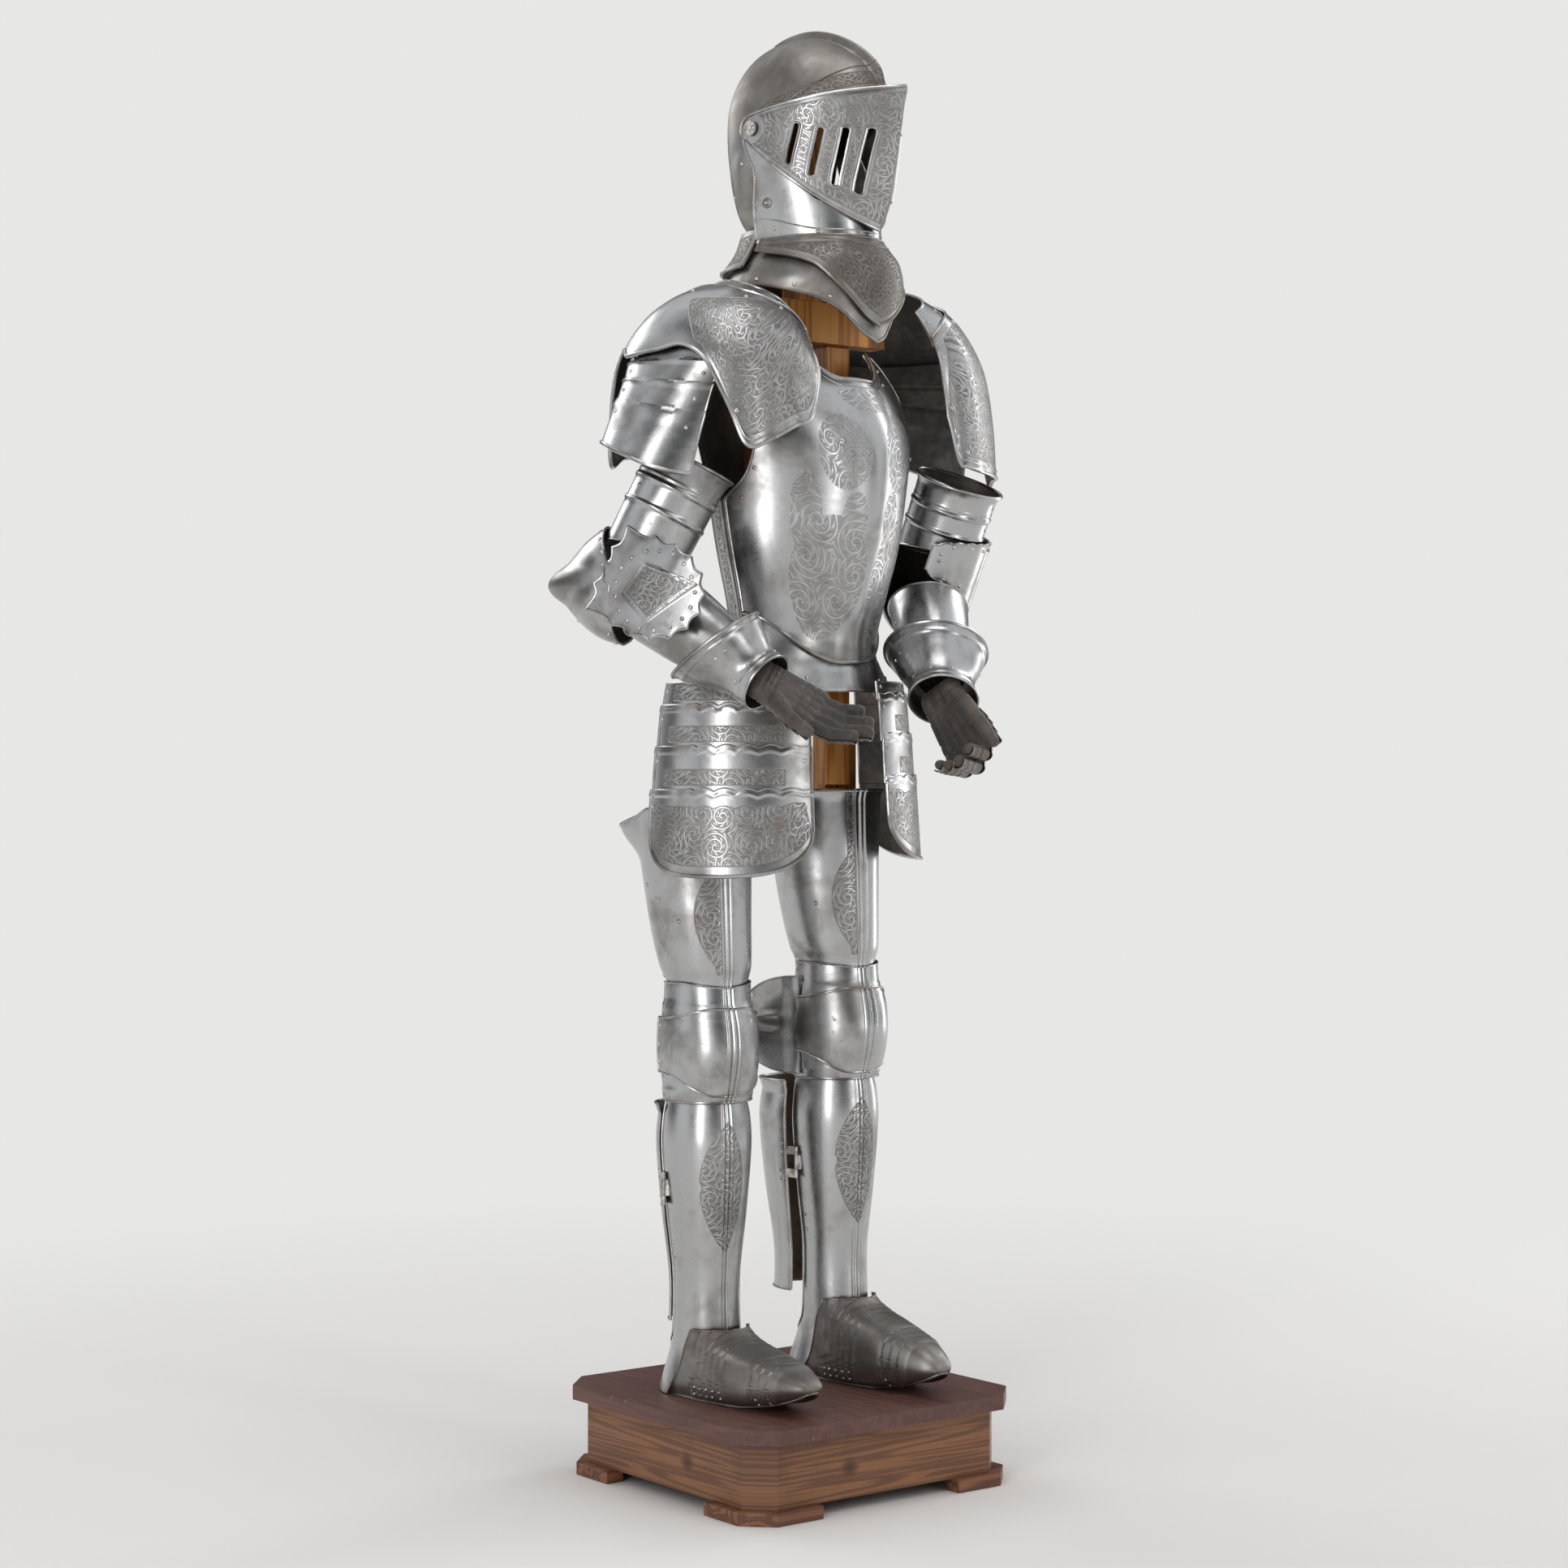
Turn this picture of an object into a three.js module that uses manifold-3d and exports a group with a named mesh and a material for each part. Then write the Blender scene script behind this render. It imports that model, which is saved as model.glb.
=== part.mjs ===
// Suit of plate armour standing on a wooden display stand, in millimetres, +Z up.
// The stand faces -Y, so the wearer's right side is -X. The ground is z = 0.
import * as THREE from "three";
import { ConvexGeometry } from "three/addons/geometries/ConvexGeometry.js";
import { mergeVertices } from "three/addons/utils/BufferGeometryUtils.js";
import Module from "manifold-3d";

const wasm = await Module();
wasm.setup();
const { Manifold, Mesh } = wasm;

// ---------------------------------------------------------------- named sizes
const PLATE = 1.6; // thickness of the steel
const AIR = 0.9; // air between two plates that overlap
const LAP = PLATE + AIR; // how far one lame stands off the lame under it
const GAP = 0.4; // seam between two pieces of wood
const LEATHER = 2;

const PLINTH = { wide: 472, deep: 462, top: 125, board: 20, lip: 20, wall: 18, chamfer: 45, foot: 17, footOut: 13, footIn: 14, footRun: 112 };
const LEG = { x: 112, y: 40, turnRight: -10, turnLeft: -2, liftLeft: 20 };
const POST = { wide: 56, deep: 28, top: 1060 };
const SPINE = { x: 62, wide: 40, deep: 26, y: -18, bottom: 958, top: 1565 };
const BOARD = { half: 132, y: -30, deep: 34, bottom: 1567, top: 1622 };
const HEAD_POST = { wide: 40, top: 1900 };
const TORSO_TURN = 10; // the body looks a little to its own left of the plinth
const HEAD_TURN = 13;
const CENTRE = { x: 12.1, y: -33.2 }; // middle of the whole suit, which is moved over the origin
const PIVOT = { y: -23, z: 1846, bolt: 4, bore: 4.8, rosette: 10, lobe: 17 };

// ---------------------------------------------------------------- small tools
const rad = THREE.MathUtils.degToRad;
const { lerp, clamp, smoothstep } = THREE.MathUtils;
const UP = new THREE.Vector3(0, 0, 1);
const V = (x, y, z) => new THREE.Vector3(x, y, z);
const table = (names, rows) => rows.map((r) => Object.fromEntries(names.map((n, i) => [n, r[i]])));
const span = (a, b, n) => Array.from({ length: n + 1 }, (_, i) => lerp(a, b, i / n));
const bump = (x, half) => Math.max(0, 1 - (x / half) ** 2) ** 2;

// Every column of a table at one value of its key, on a smooth curve through the rows.
function at(rows, key, value) {
  const last = rows.length - 1;
  const way = Math.sign(rows[last][key] - rows[0][key]);
  let i = 0;
  while (i < last - 1 && way * (value - rows[i + 1][key]) > 0) i++;
  const [a, b, c, d] = [rows[Math.max(i - 1, 0)], rows[i], rows[i + 1], rows[Math.min(i + 2, last)]];
  const run = c[key] - b[key];
  const t = clamp((value - b[key]) / run, 0, 1);
  const out = {};
  for (const n of Object.keys(b)) {
    const m0 = ((c[n] - a[n]) / (c[key] - a[key])) * run;
    const m1 = ((d[n] - b[n]) / (d[key] - b[key])) * run;
    out[n] = (2 * t ** 3 - 3 * t ** 2 + 1) * b[n] + (t ** 3 - 2 * t ** 2 + t) * m0 + (3 * t ** 2 - 2 * t ** 3) * c[n] + (t ** 3 - t ** 2) * m1;
  }
  return out;
}

// A surface made of rings stacked along z. Angle 0 is the front (-Y), +90 the wearer's left (+X).
const RING = ["z", "x", "y", "right", "left", "front", "back", "square"];
const ringForm = (rows, off = 0, relief = () => 0) => (deg, z) => {
  const r = at(rows, "z", z);
  const s = Math.sin(rad(deg)), c = Math.cos(rad(deg)), e = 2 / r.square, push = off + relief(deg, z);
  return V(
    r.x + Math.sign(s) * Math.abs(s) ** e * ((s < 0 ? r.right : r.left) + push),
    r.y - Math.sign(c) * Math.abs(c) ** e * ((c > 0 ? r.front : r.back) + push),
    z,
  );
};

// A surface made of arches about the X axis. "up" is the angle above the front, k runs 0..180 from the right end over the middle to the left end.
const archForm = (rows, half, off = 0, relief = () => 0) => (up, k) => {
  const r = at(rows, "up", up), e = 2 / r.square;
  const s = Math.sin(rad(k)), c = Math.cos(rad(k));
  const x = -Math.sign(c) * Math.abs(c) ** e * (half * (r.width ?? 1) + off);
  const rho = s ** e * (r.radius + off) + relief(up, x);
  return V(x, -rho * Math.cos(rad(up)), rho * Math.sin(rad(up)));
};

const grid = (us, vs, f) => vs.map((v) => us.map((u) => f(u, v)));
const mirrored = (rows) => rows.map((row) => row.map((p) => V(-p.x, p.y, p.z)).reverse());
const sided = (rows, side) => (side < 0 ? rows : mirrored(rows));

// A closed thin plate: the outer face is the grid, the inner face stands one wall behind it. Columns run to the left across the front, rows run up.
function plate(rows, wall = PLATE, wrap = false) {
  const nv = rows.length, nu = rows[0].length;
  const get = (i, j) => rows[clamp(j, 0, nv - 1)][wrap ? (i + nu) % nu : clamp(i, 0, nu - 1)];
  const outer = [], inner = [];
  for (let j = 0; j < nv; j++)
    for (let i = 0; i < nu; i++) {
      const p = get(i, j);
      const n = get(i + 1, j).clone().sub(get(i - 1, j)).cross(get(i, j + 1).clone().sub(get(i, j - 1))).normalize();
      outer.push(p);
      inner.push(p.clone().addScaledVector(n, -wall));
    }
  const N = nu * nv, index = [], points = [...outer, ...inner];
  const id = (i, j, k) => k * N + j * nu + (wrap ? i % nu : i);
  const quad = (a, b, c, d) => {
    const short = points[a].distanceTo(points[c]) <= points[b].distanceTo(points[d]);
    index.push(...(short ? [a, b, c, a, c, d] : [a, b, d, b, c, d]));
  };
  const cols = wrap ? nu : nu - 1;
  for (let j = 0; j < nv - 1; j++)
    for (let i = 0; i < cols; i++) {
      quad(id(i, j, 0), id(i + 1, j, 0), id(i + 1, j + 1, 0), id(i, j + 1, 0));
      quad(id(i, j, 1), id(i, j + 1, 1), id(i + 1, j + 1, 1), id(i + 1, j, 1));
    }
  for (let i = 0; i < cols; i++) {
    quad(id(i, 0, 1), id(i + 1, 0, 1), id(i + 1, 0, 0), id(i, 0, 0));
    quad(id(i, nv - 1, 0), id(i + 1, nv - 1, 0), id(i + 1, nv - 1, 1), id(i, nv - 1, 1));
  }
  if (!wrap)
    for (let j = 0; j < nv - 1; j++) {
      quad(id(0, j, 1), id(0, j, 0), id(0, j + 1, 0), id(0, j + 1, 1));
      quad(id(nu - 1, j, 0), id(nu - 1, j, 1), id(nu - 1, j + 1, 1), id(nu - 1, j + 1, 0));
    }
  return new Mesh({ numProp: 3, vertProperties: new Float32Array(points.flatMap((p) => [p.x, p.y, p.z])), triVerts: new Uint32Array(index) });
}
const solid = (rows, wall, wrap) => {
  const made = new Manifold(plate(rows, wall, wrap));
  if (made.volume() < 0) throw new Error("plate is inside out");
  return made;
};
const tube = (rows, wall) => solid(rows.map((r) => r.slice(0, -1)), wall, true);

const MATERIALS = {
  steel: new THREE.MeshStandardMaterial({ color: 0xa9aaab, metalness: 1, roughness: 0.32 }),
  dark: new THREE.MeshStandardMaterial({ color: 0x6b6866, metalness: 1, roughness: 0.45 }),
  leather: new THREE.MeshStandardMaterial({ color: 0x2b231d, roughness: 0.8 }),
  pine: new THREE.MeshStandardMaterial({ color: 0xb4702e, roughness: 0.6 }),
  stained: new THREE.MeshStandardMaterial({ color: 0x5b2c1a, roughness: 0.6 }),
  painted: new THREE.MeshStandardMaterial({ color: 0x4a231d, roughness: 0.55 }),
};
const suit = new THREE.Group();
suit.name = "suit_of_armour";
suit.position.set(-CENTRE.x, -CENTRE.y, 0);
function put(name, shape, material, parent = suit) {
  let geometry = shape;
  if (!shape.isBufferGeometry) {
    const m = shape.getMesh();
    geometry = new THREE.BufferGeometry();
    const flat = new Float32Array(m.numVert * 3);
    for (let i = 0; i < m.numVert; i++) flat.set(m.vertProperties.subarray(i * m.numProp, i * m.numProp + 3), i * 3);
    geometry.setAttribute("position", new THREE.BufferAttribute(flat, 3));
    geometry.setIndex(new THREE.BufferAttribute(new Uint32Array(m.triVerts), 1));
    geometry.computeVertexNormals();
  }
  const mesh = new THREE.Mesh(geometry, MATERIALS[material]);
  mesh.name = name;
  parent.add(mesh);
  return mesh;
}
function frame(x, y, z, turn, parent = suit) {
  const g = new THREE.Group();
  g.position.set(x, y, z);
  g.rotation.z = rad(turn);
  parent.add(g);
  return g;
}
// A frame whose +Z runs from one point to another and whose -Y looks towards "face".
function limbFrame(from, to, face) {
  const z = to.clone().sub(from).normalize();
  const y = face.clone().addScaledVector(z, -face.dot(z)).normalize().negate();
  const x = y.clone().cross(z);
  const g = new THREE.Group();
  g.matrix.makeBasis(x, y, z).setPosition(from);
  g.matrix.decompose(g.position, g.quaternion, g.scale);
  suit.add(g);
  return g;
}
const box = (x0, x1, y0, y1, z0, z1) => new THREE.BoxGeometry(x1 - x0, y1 - y0, z1 - z0).translate((x0 + x1) / 2, (y0 + y1) / 2, (z0 + z1) / 2);
// A closed three.js geometry as a body that can be joined or cut.
function body(geometry) {
  const bare = new THREE.BufferGeometry().setAttribute("position", geometry.getAttribute("position"));
  if (geometry.index) bare.setIndex(geometry.index);
  const m = mergeVertices(bare, 1e-3);
  return new Manifold(new Mesh({ numProp: 3, vertProperties: new Float32Array(m.attributes.position.array), triVerts: new Uint32Array(m.index.array) }));
}
const pointsOf = (geometry) => {
  const q = geometry.getAttribute("position");
  return Array.from({ length: q.count }, (_, i) => new THREE.Vector3().fromBufferAttribute(q, i));
};
const wrapped = (...geometries) => body(new ConvexGeometry(geometries.flatMap(pointsOf)));
const column = (r, z0, z1, sides = 12) => new THREE.CylinderGeometry(r, r, z1 - z0, sides).rotateX(Math.PI / 2).translate(0, 0, (z0 + z1) / 2);
const rod = (r, from, to, sides = 12) => body(column(r, from, to, sides).rotateY(Math.PI / 2)); // along +X

// ---------------------------------------------------------------- wooden stand
function octagon(w, d, c) {
  const s = new THREE.Shape();
  const [x, y] = [w / 2, d / 2];
  [[x - c, -y], [x, -y + c], [x, y - c], [x - c, y], [-x + c, y], [-x, y - c], [-x, -y + c], [-x + c, -y]].forEach(([px, py], i) => (i ? s.lineTo(px, py) : s.moveTo(px, py)));
  s.closePath();
  return s;
}
const extrude = (shape, z0, z1) => new THREE.ExtrudeGeometry(shape, { depth: z1 - z0, bevelEnabled: false }).translate(0, 0, z0);
const P = PLINTH;
put("plinth_board", extrude(octagon(P.wide, P.deep, P.chamfer), P.top - P.board, P.top), "painted");
{
  const ring = octagon(P.wide - 2 * P.lip, P.deep - 2 * P.lip, P.chamfer - 12);
  const inset = 2 * (P.lip + P.wall);
  ring.holes.push(new THREE.Path(octagon(P.wide - inset, P.deep - inset, P.chamfer - 20).getPoints().reverse()));
  put("plinth_box", extrude(ring, P.foot + GAP, P.top - P.board - GAP), "stained");
}
for (const [name, sx, sy] of [["fr", -1, -1], ["fl", 1, -1], ["br", -1, 1], ["bl", 1, 1]]) {
  const X = P.wide / 2 - P.lip + P.footOut, Y = P.deep / 2 - P.lip + P.footOut, t = P.footOut + P.footIn, c = P.chamfer - 8, k = c - t * 0.6;
  const pts = [[P.footRun, 0], [c, 0], [0, c], [0, P.footRun], [t, P.footRun], [t, t + k], [t + k, t], [P.footRun, t]].map(([a, b]) => [sx * (X - a), sy * (Y - b)]);
  if (sx * sy < 0) pts.reverse();
  const s = new THREE.Shape(pts.map(([a, b]) => new THREE.Vector2(a, b)));
  put("plinth_foot_" + name, extrude(s, 0, P.foot), "stained");
}
for (const [n, side] of [["r", -1], ["l", 1]]) {
  const x = side * LEG.x, s = side * SPINE.x;
  put("leg_post_" + n, box(x - POST.wide / 2, x + POST.wide / 2, LEG.y - POST.deep / 2, LEG.y + POST.deep / 2, P.top + GAP, POST.top), "pine");
  put("torso_post_" + n, box(s - SPINE.wide / 2, s + SPINE.wide / 2, SPINE.y - SPINE.deep / 2, SPINE.y + SPINE.deep / 2, SPINE.bottom, SPINE.top), "pine");
}
put("shoulder_board", box(-BOARD.half, BOARD.half, BOARD.y - BOARD.deep / 2, BOARD.y + BOARD.deep / 2, BOARD.bottom, BOARD.top), "pine");
put("head_post", box(-HEAD_POST.wide / 2, HEAD_POST.wide / 2, BOARD.y - HEAD_POST.wide / 2, BOARD.y + HEAD_POST.wide / 2, BOARD.top + GAP, HEAD_POST.top), "pine");

// ---------------------------------------------------------------- legs
const SHIN = table(RING, [
  [124, 0, 2, 62, 54, 62, 74, 2.2],
  [150, 0, 2, 56, 50, 60, 68, 2.1],
  [185, 0, 1, 49, 47, 55, 55, 2],
  [215, 0, 0, 47, 45, 52, 48, 2],
  [264, 0, 0, 46, 44, 50, 46, 2],
  [300, 0, 0, 47, 45, 52, 49, 2],
  [375, 0, 0, 55, 53, 60, 60, 2],
  [465, 0, 0, 62, 60, 66, 68, 2],
  [505, 0, 0, 60, 58, 64, 64, 2],
  [528, 0, 0, 56, 53, 60, 58, 2],
  [545, 0, 0, 53, 50, 57, 54, 2],
]);
const KNEE = table(RING, [
  [525, 0, 0, 65, 62, 69, 50, 2],
  [545, 0, 0, 67, 64, 76, 51, 2],
  [570, 0, 0, 69, 65, 84, 52, 2.1],
  [600, 0, 0, 70, 66, 88, 54, 2.1],
  [630, 0, 0, 69, 65, 84, 54, 2.1],
  [655, 0, 0, 67, 63, 76, 52, 2],
  [690, 0, 0, 65, 62, 71, 52, 2],
]);
const THIGH = table(RING, [
  [660, 0, 0, 57, 54, 62, 50, 2],
  [690, 0, 0, 58, 55, 63, 52, 2],
  [708, -1, 1, 65, 61, 68, 56, 2],
  [760, -4, 3, 74, 64, 74, 64, 2],
  [830, -7, 6, 80, 68, 79, 76, 2],
  [900, -9, 10, 85, 74, 84, 90, 2],
  [950, -10, 14, 88, 78, 88, 96, 2],
]);
const FOOT = table(RING, [
  [126, 0, -2, 53, 51, 150, 30, 2.3],
  [140, 0, -2, 55, 52, 204, 30, 2.4],
  [155, 0, -2, 54, 51, 232, 30, 2.5],
  [168, 0, -2, 53, 50, 236, 28, 2.5],
  [182, 0, -2, 52, 50, 208, 28, 2.4],
  [192, 0, -2, 52, 50, 156, 28, 2.2],
  [200, 0, -2, 51.5, 49.5, 112, 28, 2],
  [209, 0, -2, 51, 49, 80, 28, 2],
  [222, 0, -2, 50.5, 48.5, 57, 28, 2],
]);
const FOOT_ROWS = [0, 140, 154, 168, 182, 192, 200, 209, 217]; // heights of the sabaton's rows above its lower edge
const SEAM = { high: 217, low: 126, front: 51, rear: 88 }; // where the sabaton's rear edge meets the greave, as angles on the greave
const TOE = { up: 32, half: 34 }; // the toe stands clear of the plinth
const FLUTE = { pitch: 6.2, high: 2.6, half: 3 };
const flutes = (deg, z) => FLUTE.high * [-1, 0, 1].reduce((s, k) => s + bump(deg - k * FLUTE.pitch, FLUTE.half), 0);
const fluteColumns = [-12, -9.3, -6.2, -3.1, 0, 3.1, 6.2, 9.3, 12];
const across = (a, b, n) => [...span(a, -12, n).slice(0, -1), ...fluteColumns, ...span(12, b, n).slice(1)];
const HINGE = { x: -63, y: 5, z: 396, knuckle: 2.6 };
const pin = (r, [x, y], z0, z1) => column(r, z0, z1, 8).translate(x, y, 0);
const leaf = (axis, edge, z0, z1) => body(pin(HINGE.knuckle, axis, z0, z1)).add(wrapped(pin(0.8, axis, z0, z1), pin(0.8, edge, z0, z1)));
const HEEL = { from: 101, low: 127, gap: 1.5 };
const SIDE = 0.8; // share of the front plate's columns that run over the shin
const heelTurn = (z) => 106 + 54 * (1 - smoothstep(z, 170, 208));
const wing = { near: -8, far: 86, high: 136, drop: 600, flare: 0.4, easing: 26, r: 65.2, l: 69.2, pleat: 4 };

for (const [n, side, turn, lift] of [["r", -1, LEG.turnRight, 0], ["l", 1, LEG.turnLeft, LEG.liftLeft]]) {
  const leg = frame(side * LEG.x, LEG.y, 0, turn);
  const raised = frame(0, 0, lift, 0, leg);
  const sole = frame(0, 0, 0, -turn, leg); // the feet point straight ahead
  const stretch = (z) => z - lift * (1 - smoothstep(z, 190, 240)); // the heel still reaches the plinth
  const shin = ringForm(SHIN, 0, flutes), ankle = 213;

  // The front of the greave runs down behind the ankle to the heel.
  const turnAt = (u, z) => (Math.abs(u) <= SIDE ? u * HEEL.from / SIDE : Math.sign(u) * lerp(HEEL.from, heelTurn(z), (Math.abs(u) - SIDE) / (1 - SIDE)));
  put("greave_front_" + n, solid(grid([...span(-1, -SIDE, 3), ...across(-92, 92, 7).map((c) => (c / HEEL.from) * SIDE), ...span(SIDE, 1, 3)], span(0, 1, 8), (u, v) => {
    const behind = Math.abs(u) / SIDE * HEEL.from - HEEL.gap; // it meets the sabaton's rear edge
    const foot = lerp(SEAM.high, SEAM.low, clamp((behind - SEAM.front) / (SEAM.rear - SEAM.front), 0, 1));
    const z = lerp(Math.max(HEEL.low, Math.min(ankle, foot)), 536, v ** lerp(1, 1.15, clamp((behind - SEAM.front) / 30, 0, 1)));
    const p = shin(turnAt(u, z), z);
    p.z = stretch(z);
    return p;
  })).add(leaf([HINGE.x, HINGE.y], [HINGE.x + 6, HINGE.y - 4], HINGE.z + 0.5, HINGE.z + 20)), "steel", raised);

  // The back of the greave swings on a hinge down its wearer's-right edge.
  const hinge = frame(HINGE.x, HINGE.y, 0, n === "l" ? 45 : 12, raised);
  const calf = ringForm(SHIN);
  put("greave_back_" + n, solid(grid(span(107, 250.5, 11), span(0, 1, 6), (a, v) => {
    const z = lerp(224, 520, v), p = calf(a, z);
    const out = 7 * smoothstep(z, 506, 520);
    return V(p.x * (1 + out / 60) - HINGE.x, p.y * (1 + out / 60) - HINGE.y, z);
  })).add(leaf([0, 0], [10.6, 17.2], HINGE.z - 12, HINGE.z)).add(leaf([0, 0], [8.4, 18.3], HINGE.z + 20.5, HINGE.z + 32)), "steel", hinge);

  // The angle on the sabaton's rings at which they reach the greave.
  const seamTurn = (z, end) => {
    const meet = shin(end * lerp(SEAM.rear, SEAM.front, (z - SEAM.low) / (SEAM.high - SEAM.low)), z).applyAxisAngle(UP, rad(turn));
    const r = at(FOOT, "z", z), ahead = r.y - meet.y, share = clamp(Math.abs(ahead) / (ahead > 0 ? r.front : r.back), 0, 1) ** (r.square / 2);
    return 90 - (Math.sign(ahead) * Math.asin(share) * 180) / Math.PI;
  };
  put("sabaton_" + n, solid(grid([-1, -0.88, -0.75, -0.62, -0.47, -0.33, -0.21, -0.1, 0, 0.1, 0.21, 0.33, 0.47, 0.62, 0.75, 0.88, 1], span(0, FOOT_ROWS.length - 1, FOOT_ROWS.length - 1), (u, i) => {
    const low = SEAM.low + 0.5 + TOE.up * bump(u * SEAM.rear, TOE.half), z = Math.max(FOOT_ROWS[i], low + i * 0.6);
    const reach = (z) => Math.abs(seamTurn(z, Math.sign(u))) * u;
    const p = ringForm(FOOT)(reach(z), z);
    if (n === "l") p.z = z + lift * smoothstep(z, 160, 205);
    return p;
  })), "dark", sole);

  const knee = (off) => ringForm(KNEE, off, flutes);
  put("poleyn_upper_" + n, solid(grid(across(-104, 104, 5), [0, 0.45, 0.5, 1], (a, v) => knee(v > 0.48 ? -LAP - 1.2 : -LAP - 0.4)(a, lerp(636, 688 - 6 * bump(a, 70), v)))), "steel", raised);
  put("poleyn_lower_" + n, solid(grid(across(-104, 104, 5), [0, 0.5, 1], (a, v) => knee(-LAP - 0.2)(a, lerp(527, 574, v)))), "steel", raised);
  const side_ = -side; // the wing stands on the side towards the other leg
  const cup = solid(grid(across(-104, 104, 5), span(0, 1, 5), (a, v) => {
    const s = smoothstep(Math.abs(a), 18, 88);
    return knee(0)(a, lerp(lerp(536, 566, s), lerp(654, 640, s), v));
  }));
  const wingGrid = grid(span(-1, 1, 6), [-1, -0.7, -0.2, 0, 0.2, 0.7, 1], (u, v) => {
    const y = lerp(wing.near, wing.far, (u + 1) / 2);
    const reach = Math.sqrt(Math.max(0.03, 1 - (0.5 + u / 2) ** 2.4));
    const dy = y - wing.near;
    return V(wing[n] + wing.flare * dy * smoothstep(dy, 0, wing.easing) - wing.pleat * bump(v, 0.22) * smoothstep(dy, 8, 40), y, wing.drop + (wing.high / 2) * v * reach);
  });
  put("knee_cup_" + n, cup.add(solid(sided(wingGrid, -side_), 2)), "steel", raised);

  const thigh = ringForm(THIGH, 0, (a, z) => flutes(a, z) + 4 * smoothstep(z, 915, 935) + 22 * smoothstep(z, 850, 900) * smoothstep(-a, 92, 128));
  put("cuisse_" + n, solid(grid(across(-150, 116, 5), span(0, 6, 6), (a, i) => {
    const top = 930 - 34 * smoothstep(-a, 50, 150) - 26 * smoothstep(a, 60, 116);
    return thigh(a, [668, 690, 709][i] ?? lerp(709, top, (i - 2) / 4));
  })), "steel", raised);
}

// ---------------------------------------------------------------- body
const torso = frame(0, 0, 0, TORSO_TURN);
const TRUNK = table(RING, [
  [1080, 0, -22, 176, 176, 98, 108, 2],
  [1124, 0, -28, 133, 133, 84, 88, 2],
  [1160, 0, -28, 122, 122, 84, 86, 1.95],
  [1200, 0, -28, 126, 126, 98, 90, 1.9],
  [1280, 0, -28, 146, 146, 120, 100, 1.9],
  [1374, 0, -24, 161, 161, 138, 108, 1.9],
  [1430, 0, -22, 170, 170, 137, 112, 1.95],
  [1490, 0, -18, 168, 168, 116, 110, 2],
  [1535, 0, -12, 154, 154, 87, 96, 2],
  [1565, 0, -8, 132, 132, 62, 74, 2],
]);
const keel = (deg) => 5 * bump(deg, 16);
const chest = ringForm(TRUNK, 0, keel), backing = ringForm(TRUNK);
const armhole = table(["z", "deg"], [[1340, 91], [1366, 76], [1395, 69], [1450, 62], [1500, 56], [1560, 52]]);
put("breastplate", solid(grid([-1, -0.86, -0.72, -0.58, -0.44, -0.32, -0.22, -0.14, -0.07, 0, 0.07, 0.14, 0.22, 0.32, 0.44, 0.58, 0.72, 0.86, 1], span(0, 1, 10), (u, v) => {
  const lo = 1124 + 66 * smoothstep(Math.abs(u), 0.08, 1), hi = 1507 + 50 * smoothstep(Math.abs(u), 0.18, 0.78);
  const z = lerp(lo, hi, v);
  return chest(u * (z < 1340 ? 91 : at(armhole, "z", z).deg), z);
})), "steel", torso);
const backhole = table(["z", "deg"], [[1340, 86], [1364, 68], [1395, 62], [1450, 58], [1500, 54], [1560, 50]]);
put("backplate", solid(grid(span(-1, 1, 14), span(0, 1, 9), (u, v) => {
  const lo = 1160 - 20 * (1 - Math.abs(u)), hi = 1540 + 18 * smoothstep(Math.abs(u), 0.2, 0.7);
  const z = lerp(lo, hi, v);
  return backing(180 + u * (z < 1340 ? 86 : at(backhole, "z", z).deg), z);
})), "steel", torso);
put("fauld", solid(grid(span(-94, 94, 18), span(0, 1, 4), (a, v) => ringForm(TRUNK, -LAP - 1.2, keel)(a, lerp(1086, 1150 + 46 * smoothstep(Math.abs(a), 8, 90), v)), 0)), "steel", torso);

// Tassets: four lames on each hip, each one standing over the lame above it.
const HIP = table(RING, [
  [830, 0, 12, 213, 213, 158, 158, 2],
  [950, 0, 12, 208, 206, 150, 150, 2],
  [1010, 0, 11, 204, 200, 146, 146, 2],
  [1070, 0, 10, 198, 194, 140, 140, 2],
  [1135, 0, 8, 184, 180, 130, 130, 2],
]);
const TASSET = {
  r: { from: -109, to: -27, drop: 0, top: 1098 },
  l: { from: 10, to: 104, drop: 18, top: 1084 },
};
const LAMES = table(["low", "high"], [[1056, 1098], [1000, 1068], [942, 1012], [836, 954]]);
for (const n of ["r", "l"])
  LAMES.forEach((lame, k) => {
    const t = TASSET[n], last = k === LAMES.length - 1;
    put("tasset_" + n + (k + 1), solid(grid(span(-1, 1, 11), span(0, 1, last ? 7 : 2), (u, v) => {
      const lo = lame.low + (last ? 62 * (1 - Math.sqrt(Math.max(0, 1 - Math.abs(u) ** 3.2))) : 0);
      return ringForm(HIP, (k + 1) * LAP)(lerp(t.from, t.to, (u + 1) / 2), lerp(lo, Math.min(lame.high, t.top), v));
    })).translate([0, 0, t.drop]), "steel", torso);
  });

// ---------------------------------------------------------------- helmet
const head = frame(0, 0, 0, HEAD_TURN);
const helm = frame(0, PIVOT.y, PIVOT.z, 0, head);
const ARCH = ["up", "radius", "square", "width"];
const SKULL = table(ARCH, [
  [20, 152, 1.8, 1],
  [36, 147, 1.85, 1],
  [60, 140, 2, 1],
  [90, 138, 2, 1],
  [115, 134, 2, 1],
  [140, 122, 2, 1],
  [165, 110, 2, 0.99],
  [185, 107, 2, 0.98],
  [205, 114, 2, 0.96],
  [222, 128, 2.1, 0.94],
  [238, 148, 2.2, 0.9],
  [262, 160, 2.3, 0.83],
]);
const COMB = { half: 8, high: 12 };
const comb = (up, x) => COMB.high * bump(x, COMB.half) * smoothstep(up, 14, 34) * (1 - smoothstep(up, 109, 114));
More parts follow.
